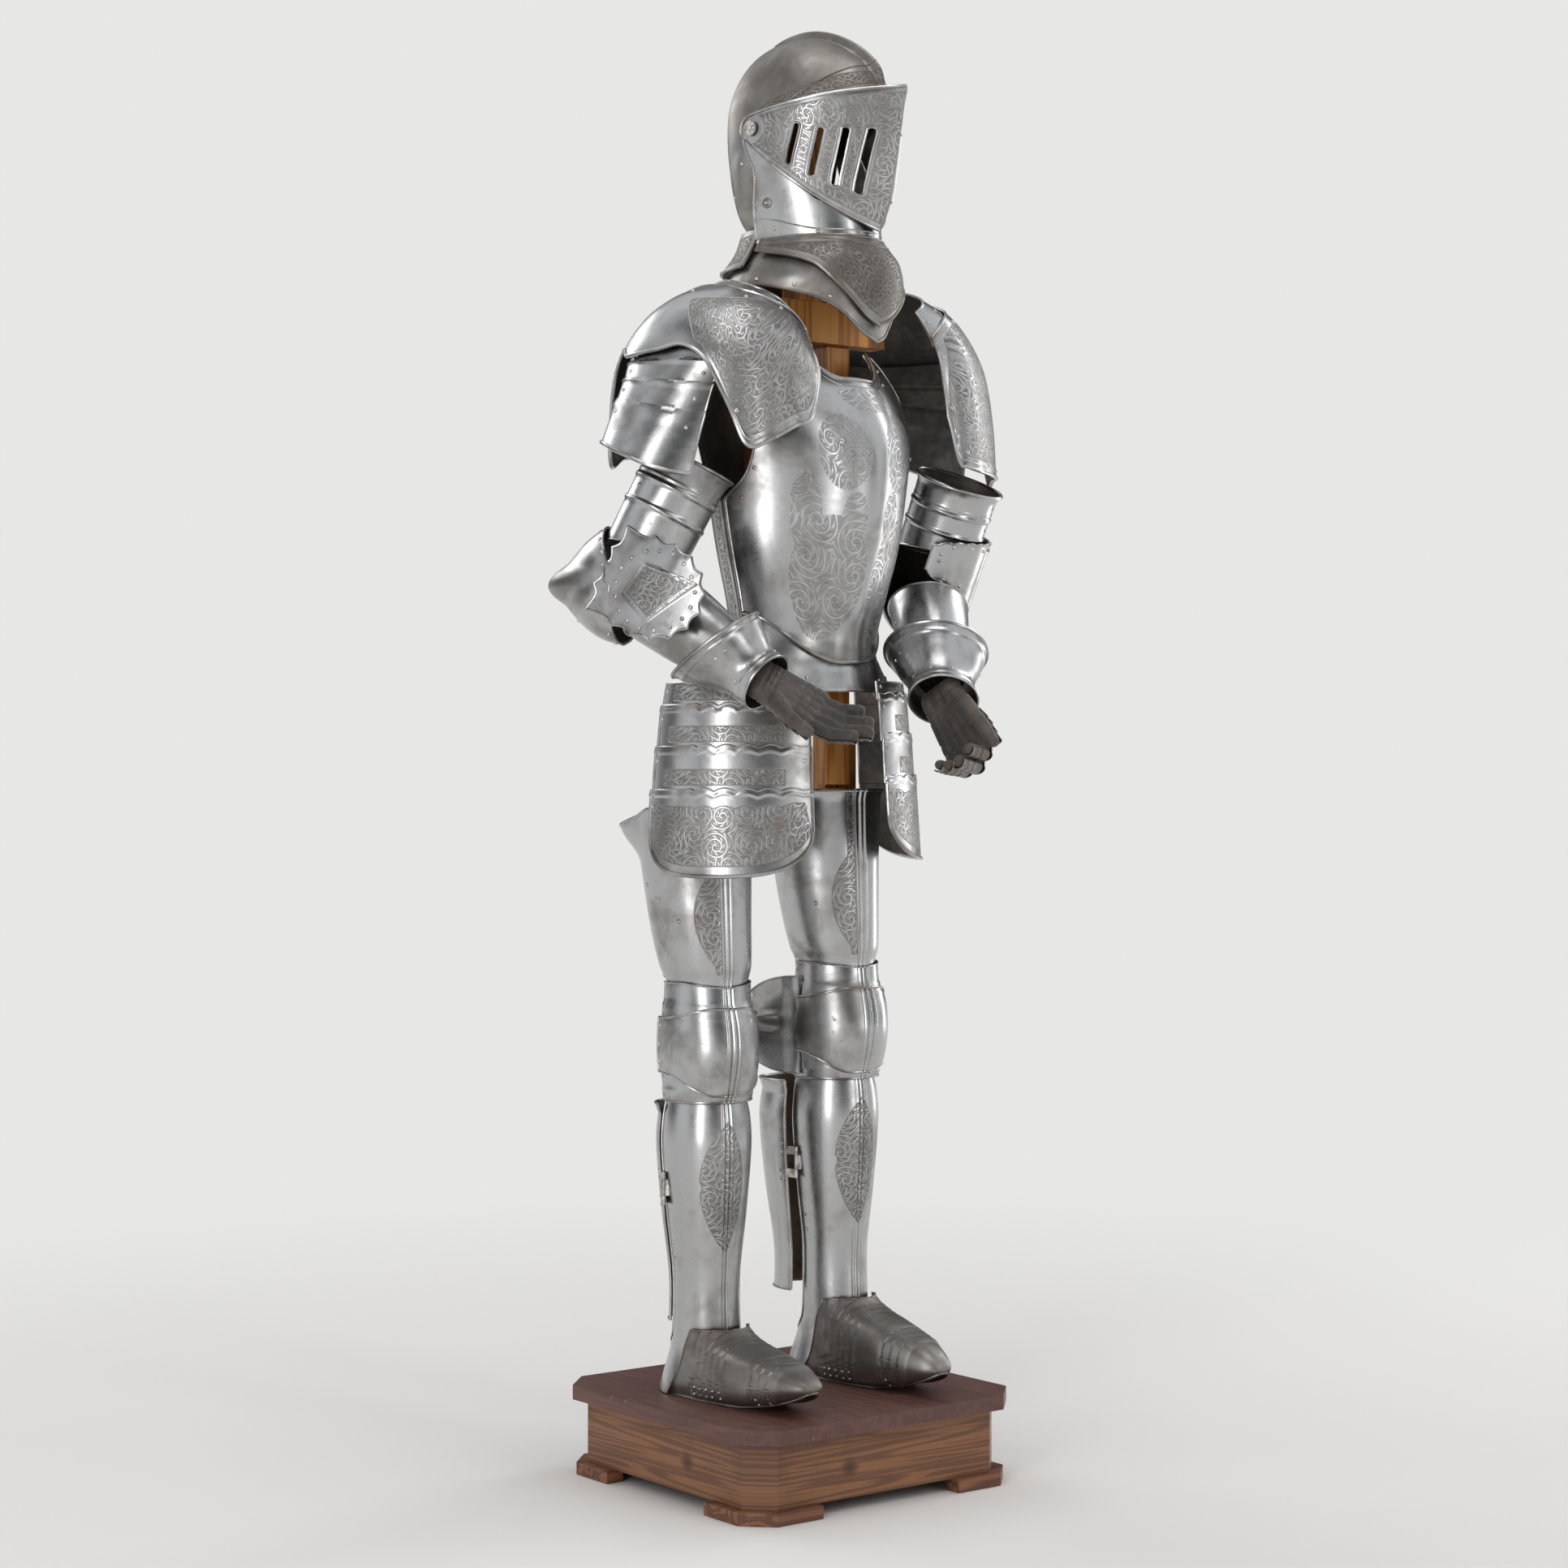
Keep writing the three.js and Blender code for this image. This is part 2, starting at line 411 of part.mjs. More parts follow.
const skullNeck = 128; // below the pivots
const skullForm = archForm(SKULL, 99, 0, comb);
const archColumns = [2.5, 11, 26, 44, 62, 78, 85, 87.6, 90, 92.4, 95, 102, 118, 136, 154, 169, 177.5];
let skull = solid(grid(archColumns, [20, 28, 41, 58, 76, 94, 109, 114, 132, 156, 180, 204, 224, 243, 262], (k, up) => skullForm(up, k)));
skull = skull.trimByPlane([0, 0, 1], -skullNeck);
for (const s of [-1, 1]) {
  const bolt = rod(PIVOT.bolt, 96, 112.2).add(rod(PIVOT.rosette, 110.6, 113.4)).add(rod(15, 95.2, 98.4, 20));
  skull = skull.add(s < 0 ? bolt.mirror([1, 0, 0]) : bolt);
}
put("helmet_skull", skull, "dark", helm);

// The visor: a wedge about the pivots with four raised sight slots on each cheek.
const VISOR = table(["up", "radius", "power"], [
  [-46, 191, 2.9],
  [-34, 180, 2.7],
  [-22, 171, 2.5],
  [-6, 168, 2.4],
  [8, 176, 2.4],
  [16, 186, 2.4],
]);
const VISOR_HALF = 108.5;
const visorX = (y, z) => {
  const up = THREE.MathUtils.radToDeg(Math.atan2(z, -y)), r = at(VISOR, "up", clamp(up, -46, 16));
  return VISOR_HALF * (1 - (Math.hypot(y, z) / r.radius) ** r.power);
};
const visorPoint = (t, v) => {
  // t: 0 at the rear lobe, 1 at the keel; v: 0 lower edge, 1 upper edge
  const up = lerp(-46, 16, v), R = at(VISOR, "up", up).radius;
  const b = rad(lerp(-128, -256, v)), reach = PIVOT.lobe * 1.12;
  const start = [-reach * Math.cos(b), reach * Math.sin(b)];
  const keelAt = [-R * Math.cos(rad(up)), R * Math.sin(rad(up))];
  return [lerp(start[0], keelAt[0], t), lerp(start[1], keelAt[1], t)];
};
const visorGrid = grid([0, 0.12, 0.28, 0.46, 0.64, 0.8, 0.92, 1, 1.08, 1.2, 1.36, 1.54, 1.72, 1.88, 2], span(0, 1, 6), (t, v) => {
  const left = t > 1, [y, z] = visorPoint(left ? 2 - t : t, v);
  const x = t === 1 ? 0 : visorX(y, z);
  return V(left ? x : -x, y, z);
});
const SLOT = { wide: 6.6, rim: 2.4, proud: 1.6 };
const SLOTS = table(["topY", "topZ", "lowY", "lowZ"], [
  [-68, -3, -57, -51],
  [-96, -10, -84, -67],
  [-122, -10, -107, -80],
  [-146, -10, -127, -90],
]);
let visor = solid(visorGrid);
for (const s of [-1, 1])
  for (const q of SLOTS) {
    const end = (y, z) => column(SLOT.wide / 2, 5, 130, 10).rotateY(Math.PI / 2).translate(0, y, z);
    const cut = wrapped(end(q.topY, q.topZ), end(q.lowY, q.lowZ));
    visor = visor.subtract(s > 0 ? cut : cut.mirror([1, 0, 0]));
  }
const bores = rod(PIVOT.bore, 80, 120).add(rod(PIVOT.bore, 80, 120).mirror([1, 0, 0]));
visor = visor.subtract(bores);
put("visor", visor, "steel", helm);

// The bevor guards chin and neck and turns on the same bolts.
const BEVOR = table(RING, [
  [-146, 0, 0, 87, 87, 121, 90, 2],
  [-132, 0, 0, 90, 90, 119, 90, 2],
  [-100, 0, 0, 95, 95, 117, 95, 2],
  [-60, 0, 0, 100, 100, 108, 100, 2],
  [-20, 0, 0, 104.4, 104.4, 104, 120, 2.1],
  [20, 0, 0, 104.4, 104.4, 104, 130, 2.1],
]);
let bevor = solid(grid(span(-1, 1, 20), span(0, 1, 5), (u, v) => {
  const a = Math.abs(u);
  const hi = lerp(-102, PIVOT.lobe, smoothstep(a, 0.45, 0.97)), z = lerp(-146, hi, v);
  const r = at(BEVOR, "z", z);
  const rear = lerp(3 + 7 * smoothstep(-z, 60, 120), PIVOT.lobe * Math.sqrt(Math.max(0, 1 - clamp(z / PIVOT.lobe, 0, 1) ** 2)) , smoothstep(z, -60, -10));
  const turn = 90 + THREE.MathUtils.radToDeg(Math.asin(clamp(rear / r.back, 0, 0.9)));
  return ringForm(BEVOR)(u * turn, z);
}));
bevor = bevor.subtract(bores);
put("bevor", bevor, "steel", helm);

const NECK = table(RING, [
  [-268, 0, 0, 118, 118, 134, 118, 2],
  [-226, 0, 0, 126, 126, 145, 112, 2],
  [-206, 0, 0, 126, 126, 148, 108, 2],
  [-178, 0, 0, 112, 112, 146, 104, 2],
  [-160, 0, 0, 98, 98, 134, 94, 2],
  [-147.5, 0, 0, 90, 90, 124, 88, 2],
]);
const hem = table(["a", "z"], [[0, -267], [14, -254], [30, -226], [52, -187], [92, -162]]);
put("neck_front", solid(grid(span(-90, 90, 18), span(0, 1, 5), (a, v) => ringForm(NECK)(a, lerp(at(hem, "a", Math.abs(a)).z, -147.5, v))), PLATE), "dark", helm);
put("neck_rear", solid(grid(span(97, 263, 14), span(0, 1, 4), (a, v) => {
  const z = lerp(-184, -129.5, v);
  return ringForm(table(RING, [[-190, 0, 6, 112, 112, 90, 112, 2], [-160, 0, 4, 92, 92, 90, 92, 2], [-129, 0, 0, 78, 78, 80, 88, 2]]))(a, z);
})), "dark", helm);
const GORGET = table(["a", "low", "high"], [[0, -289, -196], [12, -278, -196], [30, -250, -194], [52, -230, -174], [92, -212, -166], [180, -212, -172]]);
put("gorget", tube(grid(span(-180, 180, 32), [0, 0.5, 1], (a, v) => {
  const edge = at(GORGET, "a", Math.abs(a)), z = lerp(edge.low, edge.high, v);
  return ringForm(NECK, -9 + 5 * smoothstep(-z, 240, 290) - 5 * smoothstep(Math.abs(a), 80, 100))(a, z);
})), "dark", helm);

// ---------------------------------------------------------------- shoulders
const SHOULDER = table(RING, [
  [1375, 0, 0, 136, 88, 156, 132, 3],
  [1430, 0, 0, 135, 90, 153, 128, 3],
  [1490, 0, 0, 133, 92, 146, 124, 2.9],
  [1535, 0, 0, 126, 90, 136, 118, 2.6],
  [1583, 4, 0, 104, 90, 112, 96, 2.2],
  [1611, 12, 0, 78, 74, 84, 66, 2],
  [1632, 24, 0, 38, 44, 50, 36, 2],
  [1642, 30, 0, 20, 26, 28, 20, 2],
]);
// Angle 42 is the edge over the chest, -90 the outside of the shoulder, -222 the edge over the shoulder blade.
const CAPE = table(["a", "lowR", "lowL", "high", "top"], [
  [42, 1545, 1444, 1556, 1596],
  [34, 1530, 1382, 1566, 1602],
  [26, 1508, 1376, 1576, 1608],
  [15, 1478, 1373, 1588, 1615],
  [0, 1433, 1371, 1598, 1622],
  [-22, 1402, 1370, 1610, 1630],
  [-35, 1399, 1370, 1615, 1633],
  [-46, 1448, 1372, 1620, 1636],
  [-60, 1510, 1500, 1624, 1639],
  [-75, 1534, 1528, 1626, 1640],
  [-90, 1530, 1527, 1627, 1641],
  [-110, 1527, 1527, 1626, 1640],
  [-128, 1529, 1529, 1622, 1638],
  [-142, 1398, 1398, 1616, 1634],
  [-165, 1402, 1402, 1604, 1626],
  [-190, 1420, 1420, 1590, 1616],
  [-222, 1474, 1474, 1566, 1600],
]);
const capeAngles = [42, 34, 25, 15, 4, -8, -22, -35, -46, -60, -75, -90, -110, -128, -142, -156, -172, -190, -206, -222].reverse();
const SLEEVE = table(RING, [
  [1362, 0, 0, 150, 84, 100, 108, 2.1],
  [1412, 0, 0, 131, 80, 108, 98, 2.1],
  [1455, 0, 0, 112, 76, 114, 90, 2.1],
  [1490, 0, 0, 97, 72, 122, 84, 2.1],
  [1530, 0, 0, 75, 70, 134, 84, 2.3],
  [1548, 0, 0, 66.5, 65, 126, 78, 2.3],
]);
const SLEEVE_AT = { x: -50, y: 8 };
const BANDS = [0, 0.17, 0.34, 0.55, 1]; // where one lame ends and the next begins
const SHOULDERS = {
  r: { side: -1, x: -150, y: -10, z: 0, turn: 0, rear: -222 },
  l: { side: 1, x: 186, y: -10, z: 26, turn: 20, rear: -196 },
};
for (const [n, q] of Object.entries(SHOULDERS)) {
  const place = frame(q.x, q.y, q.z, q.turn, torso), angles = capeAngles.filter((a) => a >= q.rear);
  const cape = (off) => ringForm(SHOULDER, off);
  const edge = (a) => at(CAPE, "a", a), low = (a) => edge(a)["low" + n.toUpperCase()];
  put("pauldron_" + n, solid(sided(grid(angles, span(0, 1, 7), (a, v) => cape(0)(a, lerp(low(a), edge(a).high, v))), q.side)), "steel", place);
  put("pauldron_collar_" + n, solid(sided(grid(angles, [0, 0.5, 1], (a, v) => cape(-LAP)(a, lerp(edge(a).high - 9, edge(a).top, v))), q.side)).translate([0, 0, -LAP - 0.9]), "steel", place);
  // Lames below the shoulder: each one stands out from the lame above it.
  const rows = [];
  BANDS.slice(0, -1).forEach((b, i) => rows.push([b + (i ? 0.004 : 0), 3 - i], [BANDS[i + 1], 3 - i]));
  const lames = grid(span(-186, -34, 12), rows, (a, [v, step]) => {
    const bottom = lerp(1412, 1362, smoothstep(a, -130, -34));
    const p = ringForm(SLEEVE, -step * 1.4)(a, lerp(1544, bottom, v));
    return V(p.x + SLEEVE_AT.x, p.y + SLEEVE_AT.y, p.z);
  }).reverse();
  put("pauldron_lames_" + n, solid(sided(lames, q.side)), "steel", place);
}

// ---------------------------------------------------------------- arms
const ARMS = {
  r: { side: -1, elbow: V(-267, 4, 1225), rim: V(-205, -49, 1386), wrist: V(-178, -175, 1093), tips: V(-88, -258, 1016), back: V(0.35, 0.45, -0.8), curl: [10, 26], thumb: [-38, 20], slant: 40, slantTo: 85 },
  l: { side: 1, elbow: V(246, 0, 1243), rim: V(258, -62, 1386), wrist: V(126, -180, 1076), tips: V(146, -222, 1000), back: V(1, 0.35, 0.1), curl: [42, 66], thumb: [-20, 24], slant: 0, slantTo: 0 },
};
const UPPER = table(RING, [
  [40, 0, 0, 56, 56, 55, 55, 2],
  [80, 0, 0, 57, 57, 56, 56, 2],
  [130, 0, 0, 58, 58, 57, 57, 2],
  [168, 0, 0, 59, 59, 58, 58, 2],
  [181, 0, 0, 63, 63, 62, 62, 2],
]);
const ribs = (a, z) => 2 * bump(z - 138, 5) + 2 * bump(z - 104, 5);
const CROOK = { bend: 72, back: 36 }; // the cannons start further from the elbow on the inside of the bend
const ELBOW = table(ARCH, [
  [138, 82, 1.9, 1],
  [160, 83, 1.8, 1],
  [186, 92, 1.5, 1],
  [205, 117, 1.3, 1],
  [224, 92, 1.5, 1],
  [250, 82, 1.8, 1],
  [290, 80, 1.9, 1],
]);
const FAN = { y: -72, z: 6, long: 74, high: 64, x: 65, lift: 17, dome: 9, corner: 0.5, rearCorner: 0.14, rear: 88 };
const WRAP = { radius: 67, root: 61.8, from: -50, to: 112, low: 20, high: 88, skirt: 44 };
const FORE = table(RING, [
  [40, 0, 0, 57, 57, 56, 56, 2],
  [120, 0, 0, 51, 51, 50, 50, 2],
  [240, 0, 0, 32, 32, 30, 30, 2],
]);
// From the wide mouth (0) to the wrist (1).
const CUFF = table(RING, [
  [0, 0, 0, 72, 72, 68, 66, 2],
  [0.3, 0, 0, 60, 60, 55, 56, 2],
  [0.7, 0, 0, 46, 46, 41, 41, 2],
  [1, 0, 0, 49, 49, 41, 41, 2],
]);
const FINGERS = table(["x", "base", "long", "thick"], [[-28, 84, 62, 10], [-9.5, 90, 70, 10.5], [9.5, 86, 66, 10], [27, 78, 54, 9]]);
const KNUCKLES = [0.5, 0.5];
function glove({ curl, thumb }) {
  const made = (thin) => {
    const ball = ([x, y, z], r) => new THREE.SphereGeometry(r - thin, 6, 3).rotateX(Math.PI / 2).translate(x, y, z);
    const bone = (a, ra, b, rb) => wrapped(ball(a, ra), ball(b, rb));
    const wrist = thin ? -30 : -6;
    let hand = wrapped(ball([-17, 0, wrist], 16), ball([17, 0, wrist], 16), ball([-29, 0, 76], 15), ball([27, 0, 72], 14));
    for (const f of FINGERS) {
      let p = [f.x, 0, f.base - 12], bend = 0;
      KNUCKLES.forEach((share, i) => {
        bend += curl[i];
        const l = f.long * share + (i ? 0 : 12), q = [p[0], p[1] + l * Math.sin(rad(bend)), p[2] + l * Math.cos(rad(bend))];
        if (!thin || !i) hand = hand.add(bone(p, f.thick - 0.4 * i, q, f.thick - 0.4 - 0.4 * i)); // the finger ends are filled
        p = q;
      });
    }
    const [out, up] = thumb.map(rad), root = [-26, 4, 26], mid = [-26 + 44 * Math.sin(out), 8 + 20 * Math.sin(up), 26 + 44 * Math.cos(out)];
    const tip = [mid[0] + 30 * Math.sin(out * 0.6), mid[1] + 22 * Math.sin(up), mid[2] + 30 * Math.cos(out * 0.6)];
    return hand.add(bone(root, 14, mid, 11)).add(bone(mid, 11, tip, 9.5));
  };
  return made(0).subtract(made(LEATHER)).trimByPlane([0, 0, 1], 0);
}
const flip = (m, side) => (side < 0 ? m : m.mirror([1, 0, 0]));
for (const [n, arm] of Object.entries(ARMS)) {
  const fore = arm.wrist.clone().sub(arm.elbow), upper = arm.rim.clone().sub(arm.elbow);
  const scale = upper.length() / 181;
  const top = limbFrame(arm.elbow, arm.rim, fore);
  const crook = (deg, near, far) => lerp(far, near, (1 + Math.cos(rad(deg))) / 2);
  put("upper_cannon_" + n, tube(grid(span(-180, 180, 20), [0, 99, 104, 109, 133, 138, 143, 181], (a, z) => {
    const p = ringForm(UPPER, 0, ribs)(a, z || crook(a, CROOK.bend - 8, CROOK.back));
    p.z *= z ? scale : 1;
    return p;
  })), "steel", top);

  const joint = limbFrame(arm.elbow, arm.rim, fore);
  const cup = solid(sided(grid([10, 24, 42, 60, 78, 90, 102, 120, 138, 156, 170], span(290, 138, 10), (k, up) => archForm(ELBOW, 64)(up, k)), arm.side));
  const flat = (u, v) => {
    const corner = u < 0 ? FAN.rearCorner : FAN.corner, round = Math.sqrt(1 - corner * u * u), tall = Math.sqrt(1 - corner * v * v);
    const y = FAN.y - (u < 0 ? FAN.rear : FAN.long) * u * tall, z = FAN.z + FAN.high * v * round;
    const r2 = ((y - FAN.y) / FAN.long) ** 2 + ((z - FAN.z) / FAN.high) ** 2;
    return V(-(FAN.x + FAN.lift * smoothstep(-y, 10, 90) - FAN.dome * r2 * 0.5), y, z);
  };
  const around = (u, v) => {
    const deg = lerp(WRAP.from, WRAP.to, (u + 1) / 2), a = rad(deg), half = (WRAP.high - WRAP.low) / 2;
    const reach = Math.sqrt(Math.max(0, 1 - 0.72 * Math.max(0, u) ** 3)), skirt = WRAP.skirt * bump(deg - 18, 46);
    const out = lerp(WRAP.root, WRAP.radius, smoothstep(deg, -30, 10));
    return V(-out * Math.cos(a), -out * Math.sin(a), (WRAP.low + WRAP.high) / 2 + half * v * reach - skirt * (1 - v) / 2);
  };
  const fan = solid(sided(grid(span(-1, 1, 10), span(-1, 1, 6), n === "r" ? flat : around).map((row) => row.reverse()), arm.side));
  put("couter_" + n, cup.add(fan), "steel", joint);

  const lower = limbFrame(arm.elbow, arm.wrist, upper), reach = fore.length();
  put("lower_cannon_" + n, tube(grid(span(-180, 180, 20), [0, 82, 120, 160, 0.84 * reach], (a, z) => ringForm(FORE)(a, z || crook(a, CROOK.bend, CROOK.back + 4)))), "steel", lower);
  put("gauntlet_cuff_" + n, tube(grid(span(-180, 180, 20), [0, 0.15, 0.4, 0.7, 1], (a, v) => {
    const p = ringForm(CUFF)(a, v);
    p.z = lerp(crook(a, reach - 84, reach - 128) + (arm.slant / 2) * (1 + Math.cos(rad(a - arm.slantTo))), reach + 4, v);
    return p;
  })), "steel", lower);

  const palm = limbFrame(arm.wrist, arm.tips, arm.back);
  put("glove_" + n, flip(glove(arm), arm.side), "leather", palm);
}

export default suit;
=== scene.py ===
"""Suit of plate armour on its wooden display stand, dressed over the CAD frame.

Metres in Blender, millimetres in the tables. The suit faces -Y.
"""

import math

import bpy
import numpy as np
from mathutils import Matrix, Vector


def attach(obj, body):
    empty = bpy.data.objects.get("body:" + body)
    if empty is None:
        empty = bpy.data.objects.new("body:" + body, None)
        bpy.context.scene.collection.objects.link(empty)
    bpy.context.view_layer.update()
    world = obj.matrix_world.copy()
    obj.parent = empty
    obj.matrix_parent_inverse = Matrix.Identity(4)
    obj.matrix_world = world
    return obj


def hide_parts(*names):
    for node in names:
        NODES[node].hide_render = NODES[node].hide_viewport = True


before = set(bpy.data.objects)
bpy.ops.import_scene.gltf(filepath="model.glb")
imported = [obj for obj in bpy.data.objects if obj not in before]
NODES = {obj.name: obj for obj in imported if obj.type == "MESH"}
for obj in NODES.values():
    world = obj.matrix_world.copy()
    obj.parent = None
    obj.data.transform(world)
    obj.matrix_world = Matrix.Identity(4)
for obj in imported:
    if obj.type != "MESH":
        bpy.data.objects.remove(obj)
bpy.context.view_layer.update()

# ---------------------------------------------------------------- named sizes, in millimetres
MM = 0.001
WALL = 1.6  # thickness of the steel
LAP = 2.5  # from one lame to the one under it
NOT_ETCHED = -99.0  # millimetres inside an etched field, where there is none
LEG = {"x": 112, "y": 40, "turn_r": -10, "turn_l": -2, "lift": 20}
TORSO_TURN, HEAD_TURN = 10, 13
CENTRE = (12.1, -33.2)
PIVOT = {"y": -23, "z": 1846, "lobe": 17, "bolt": 4, "bore": 4.8}


# ---------------------------------------------------------------- small tools
def lerp(a, b, t):
    return a + (b - a) * t


def smooth(x, a, b):
    t = np.clip((np.asarray(x, float) - a) / (b - a), 0, 1)
    return t * t * (3 - 2 * t)


def bump(x, half):
    return np.maximum(0, 1 - (np.asarray(x, float) / half) ** 2) ** 2


def steps(a, b, count):
    return list(np.linspace(a, b, count + 1))


def table(names, rows):
    return names.split(), np.array(rows, float)


def at(tab, key, value):
    """Every column of a table at one value of its key, on a smooth curve through the rows."""
    names, data = tab
    keys = data[:, names.index(key)]
    last = len(keys) - 1
    way = np.sign(keys[-1] - keys[0])
    x = np.asarray(value, float)
    i = np.clip(np.searchsorted(way * keys, way * x) - 1, 0, last - 1)
    a, b, c, d = (np.clip(i + s, 0, last) for s in (-1, 0, 1, 2))
    run = keys[c] - keys[b]
    t = np.clip((x - keys[b]) / run, 0, 1)
    out = {}
    for n, col in zip(names, data.T):
        m0 = (col[c] - col[a]) / (keys[c] - keys[a]) * run
        m1 = (col[d] - col[b]) / (keys[d] - keys[b]) * run
        here, there = 2 * t**3 - 3 * t**2 + 1, 3 * t**2 - 2 * t**3
        out[n] = here * col[b] + (t**3 - 2 * t**2 + t) * m0 + there * col[c] + (t**3 - t**2) * m1
    return out


RING = "z x y right left front back square"
ARCH = "up radius square width"


def ring(tab, deg, z, off=0.0):
    """A point of a form made of rings stacked along z.

    Angle 0 is the front (-Y) and +90 the wearer's left (+X).
    """
    r = at(tab, "z", z)
    s, c, e = np.sin(np.radians(deg)), np.cos(np.radians(deg)), 2 / r["square"]
    x = r["x"] + np.sign(s) * np.abs(s) ** e * (np.where(s < 0, r["right"], r["left"]) + off)
    y = r["y"] - np.sign(c) * np.abs(c) ** e * (np.where(c > 0, r["front"], r["back"]) + off)
    return np.stack([x, y, z + 0 * x], -1)


def arch(tab, up, k, half, relief=None):
    """A point of a form made of arches about the X axis.

    up is the angle above the front, and k runs from 0 at the right end to 180 at the left end.
    """
    r = at(tab, "up", up)
    e = 2 / r["square"]
    s, c = np.sin(np.radians(k)), np.cos(np.radians(k))
    x = -np.sign(c) * np.abs(c) ** e * half * r["width"]
    rho = np.abs(s) ** e * r["radius"] + (relief(up, x) if relief else 0)
    return np.stack([x, -rho * np.cos(np.radians(up)), rho * np.sin(np.radians(up))], -1)


def grid(us, vs):
    return np.meshgrid(np.array(us, float), np.array(vs, float))


def place(x=0.0, y=0.0, z=0.0, turn=0.0, parent=None):
    c, s = math.cos(math.radians(turn)), math.sin(math.radians(turn))
    m = np.array([[c, -s, 0, x], [s, c, 0, y], [0, 0, 1, z], [0, 0, 0, 1]], float)
    return m if parent is None else parent @ m


ROOT = place(-CENTRE[0], -CENTRE[1])


def unit(v):
    return v / (np.linalg.norm(v, axis=-1, keepdims=True) + 1e-12)


def limb(start, end, face):
    """A frame whose +Z runs from start to end and whose -Y looks towards face."""
    z = unit(end - start)
    y = -unit(face - z * (face @ z))
    m = np.eye(4)
    m[:3, 0], m[:3, 1], m[:3, 2], m[:3, 3] = np.cross(y, z), y, z, start
    return ROOT @ m


# ---------------------------------------------------------------- materials
class Net:
    """A node tree being built for one material."""

    def __init__(self, name):
        self.mat = bpy.data.materials.new(name)
        self.mat.use_nodes = True
        self.tree = self.mat.node_tree
        self.tree.nodes.clear()
        out = self.tree.nodes.new("ShaderNodeOutputMaterial")
        self.shader = self.tree.nodes.new("ShaderNodeBsdfPrincipled")
        self.tree.links.new(self.shader.outputs[0], out.inputs[0])
        self.place = self.node("ShaderNodeTexCoord").outputs["Object"]

    def node(self, kind, **settings):
        n = self.tree.nodes.new(kind)
        for k, v in settings.items():
            setattr(n, k, v)
        return n

    def put(self, socket, value):
        if isinstance(value, bpy.types.NodeSocket):
            self.tree.links.new(value, socket)
        elif isinstance(value, tuple) and socket.type == "RGBA":
            socket.default_value = (*value, 1)
        else:
            socket.default_value = value

    def math(self, op, a, b=0.0, c=None, clamp=False):
        n = self.node("ShaderNodeMath", operation=op, use_clamp=clamp)
        for socket, value in zip(n.inputs, (a, b, c)):
            if value is not None:
                self.put(socket, value)
        return n.outputs[0]

    def ramp(self, x, a, b, low=0.0, high=1.0):
        n = self.node("ShaderNodeMapRange", interpolation_type="SMOOTHSTEP")
        for socket, value in zip(n.inputs, (x, a, b, low, high)):
            self.put(socket, value)
        return n.outputs[0]

    def mix(self, share, a, b):
        n = self.node("ShaderNodeMix", data_type="RGBA")
        self.put(n.inputs[0], share)
        self.put(n.inputs[6], a)
        self.put(n.inputs[7], b)
        return n.outputs[2]

    def stretch(self, vector, scale, turn=(0.0, 0.0, 0.0)):
        n = self.node("ShaderNodeMapping")
        self.put(n.inputs["Vector"], vector)
        n.inputs["Scale"].default_value = scale
        n.inputs["Rotation"].default_value = turn
        return n.outputs[0]

    def noise(self, scale, detail=3.0, rough=0.55, vector=None, twist=0.0):
        n = self.node("ShaderNodeTexNoise")
        self.put(n.inputs["Vector"], vector or self.place)
        n.inputs["Scale"].default_value = scale
        n.inputs["Detail"].default_value = detail
        n.inputs["Roughness"].default_value = rough
        n.inputs["Distortion"].default_value = twist
        return n.outputs[0]

    def value(self, name):
        return self.node("ShaderNodeAttribute", attribute_name=name).outputs["Fac"]

    def bump(self, height, metres, strength=1.0, under=None):
        n = self.node("ShaderNodeBump")
        n.inputs["Strength"].default_value = strength
        n.inputs["Distance"].default_value = metres
        self.put(n.inputs["Height"], height)
        if under:
            self.put(n.inputs["Normal"], under)
        return n.outputs[0]

    def done(self, **sockets):
        for name, value in sockets.items():
            self.put(self.shader.inputs[name.replace("_", " ")], value)
        return self.mat


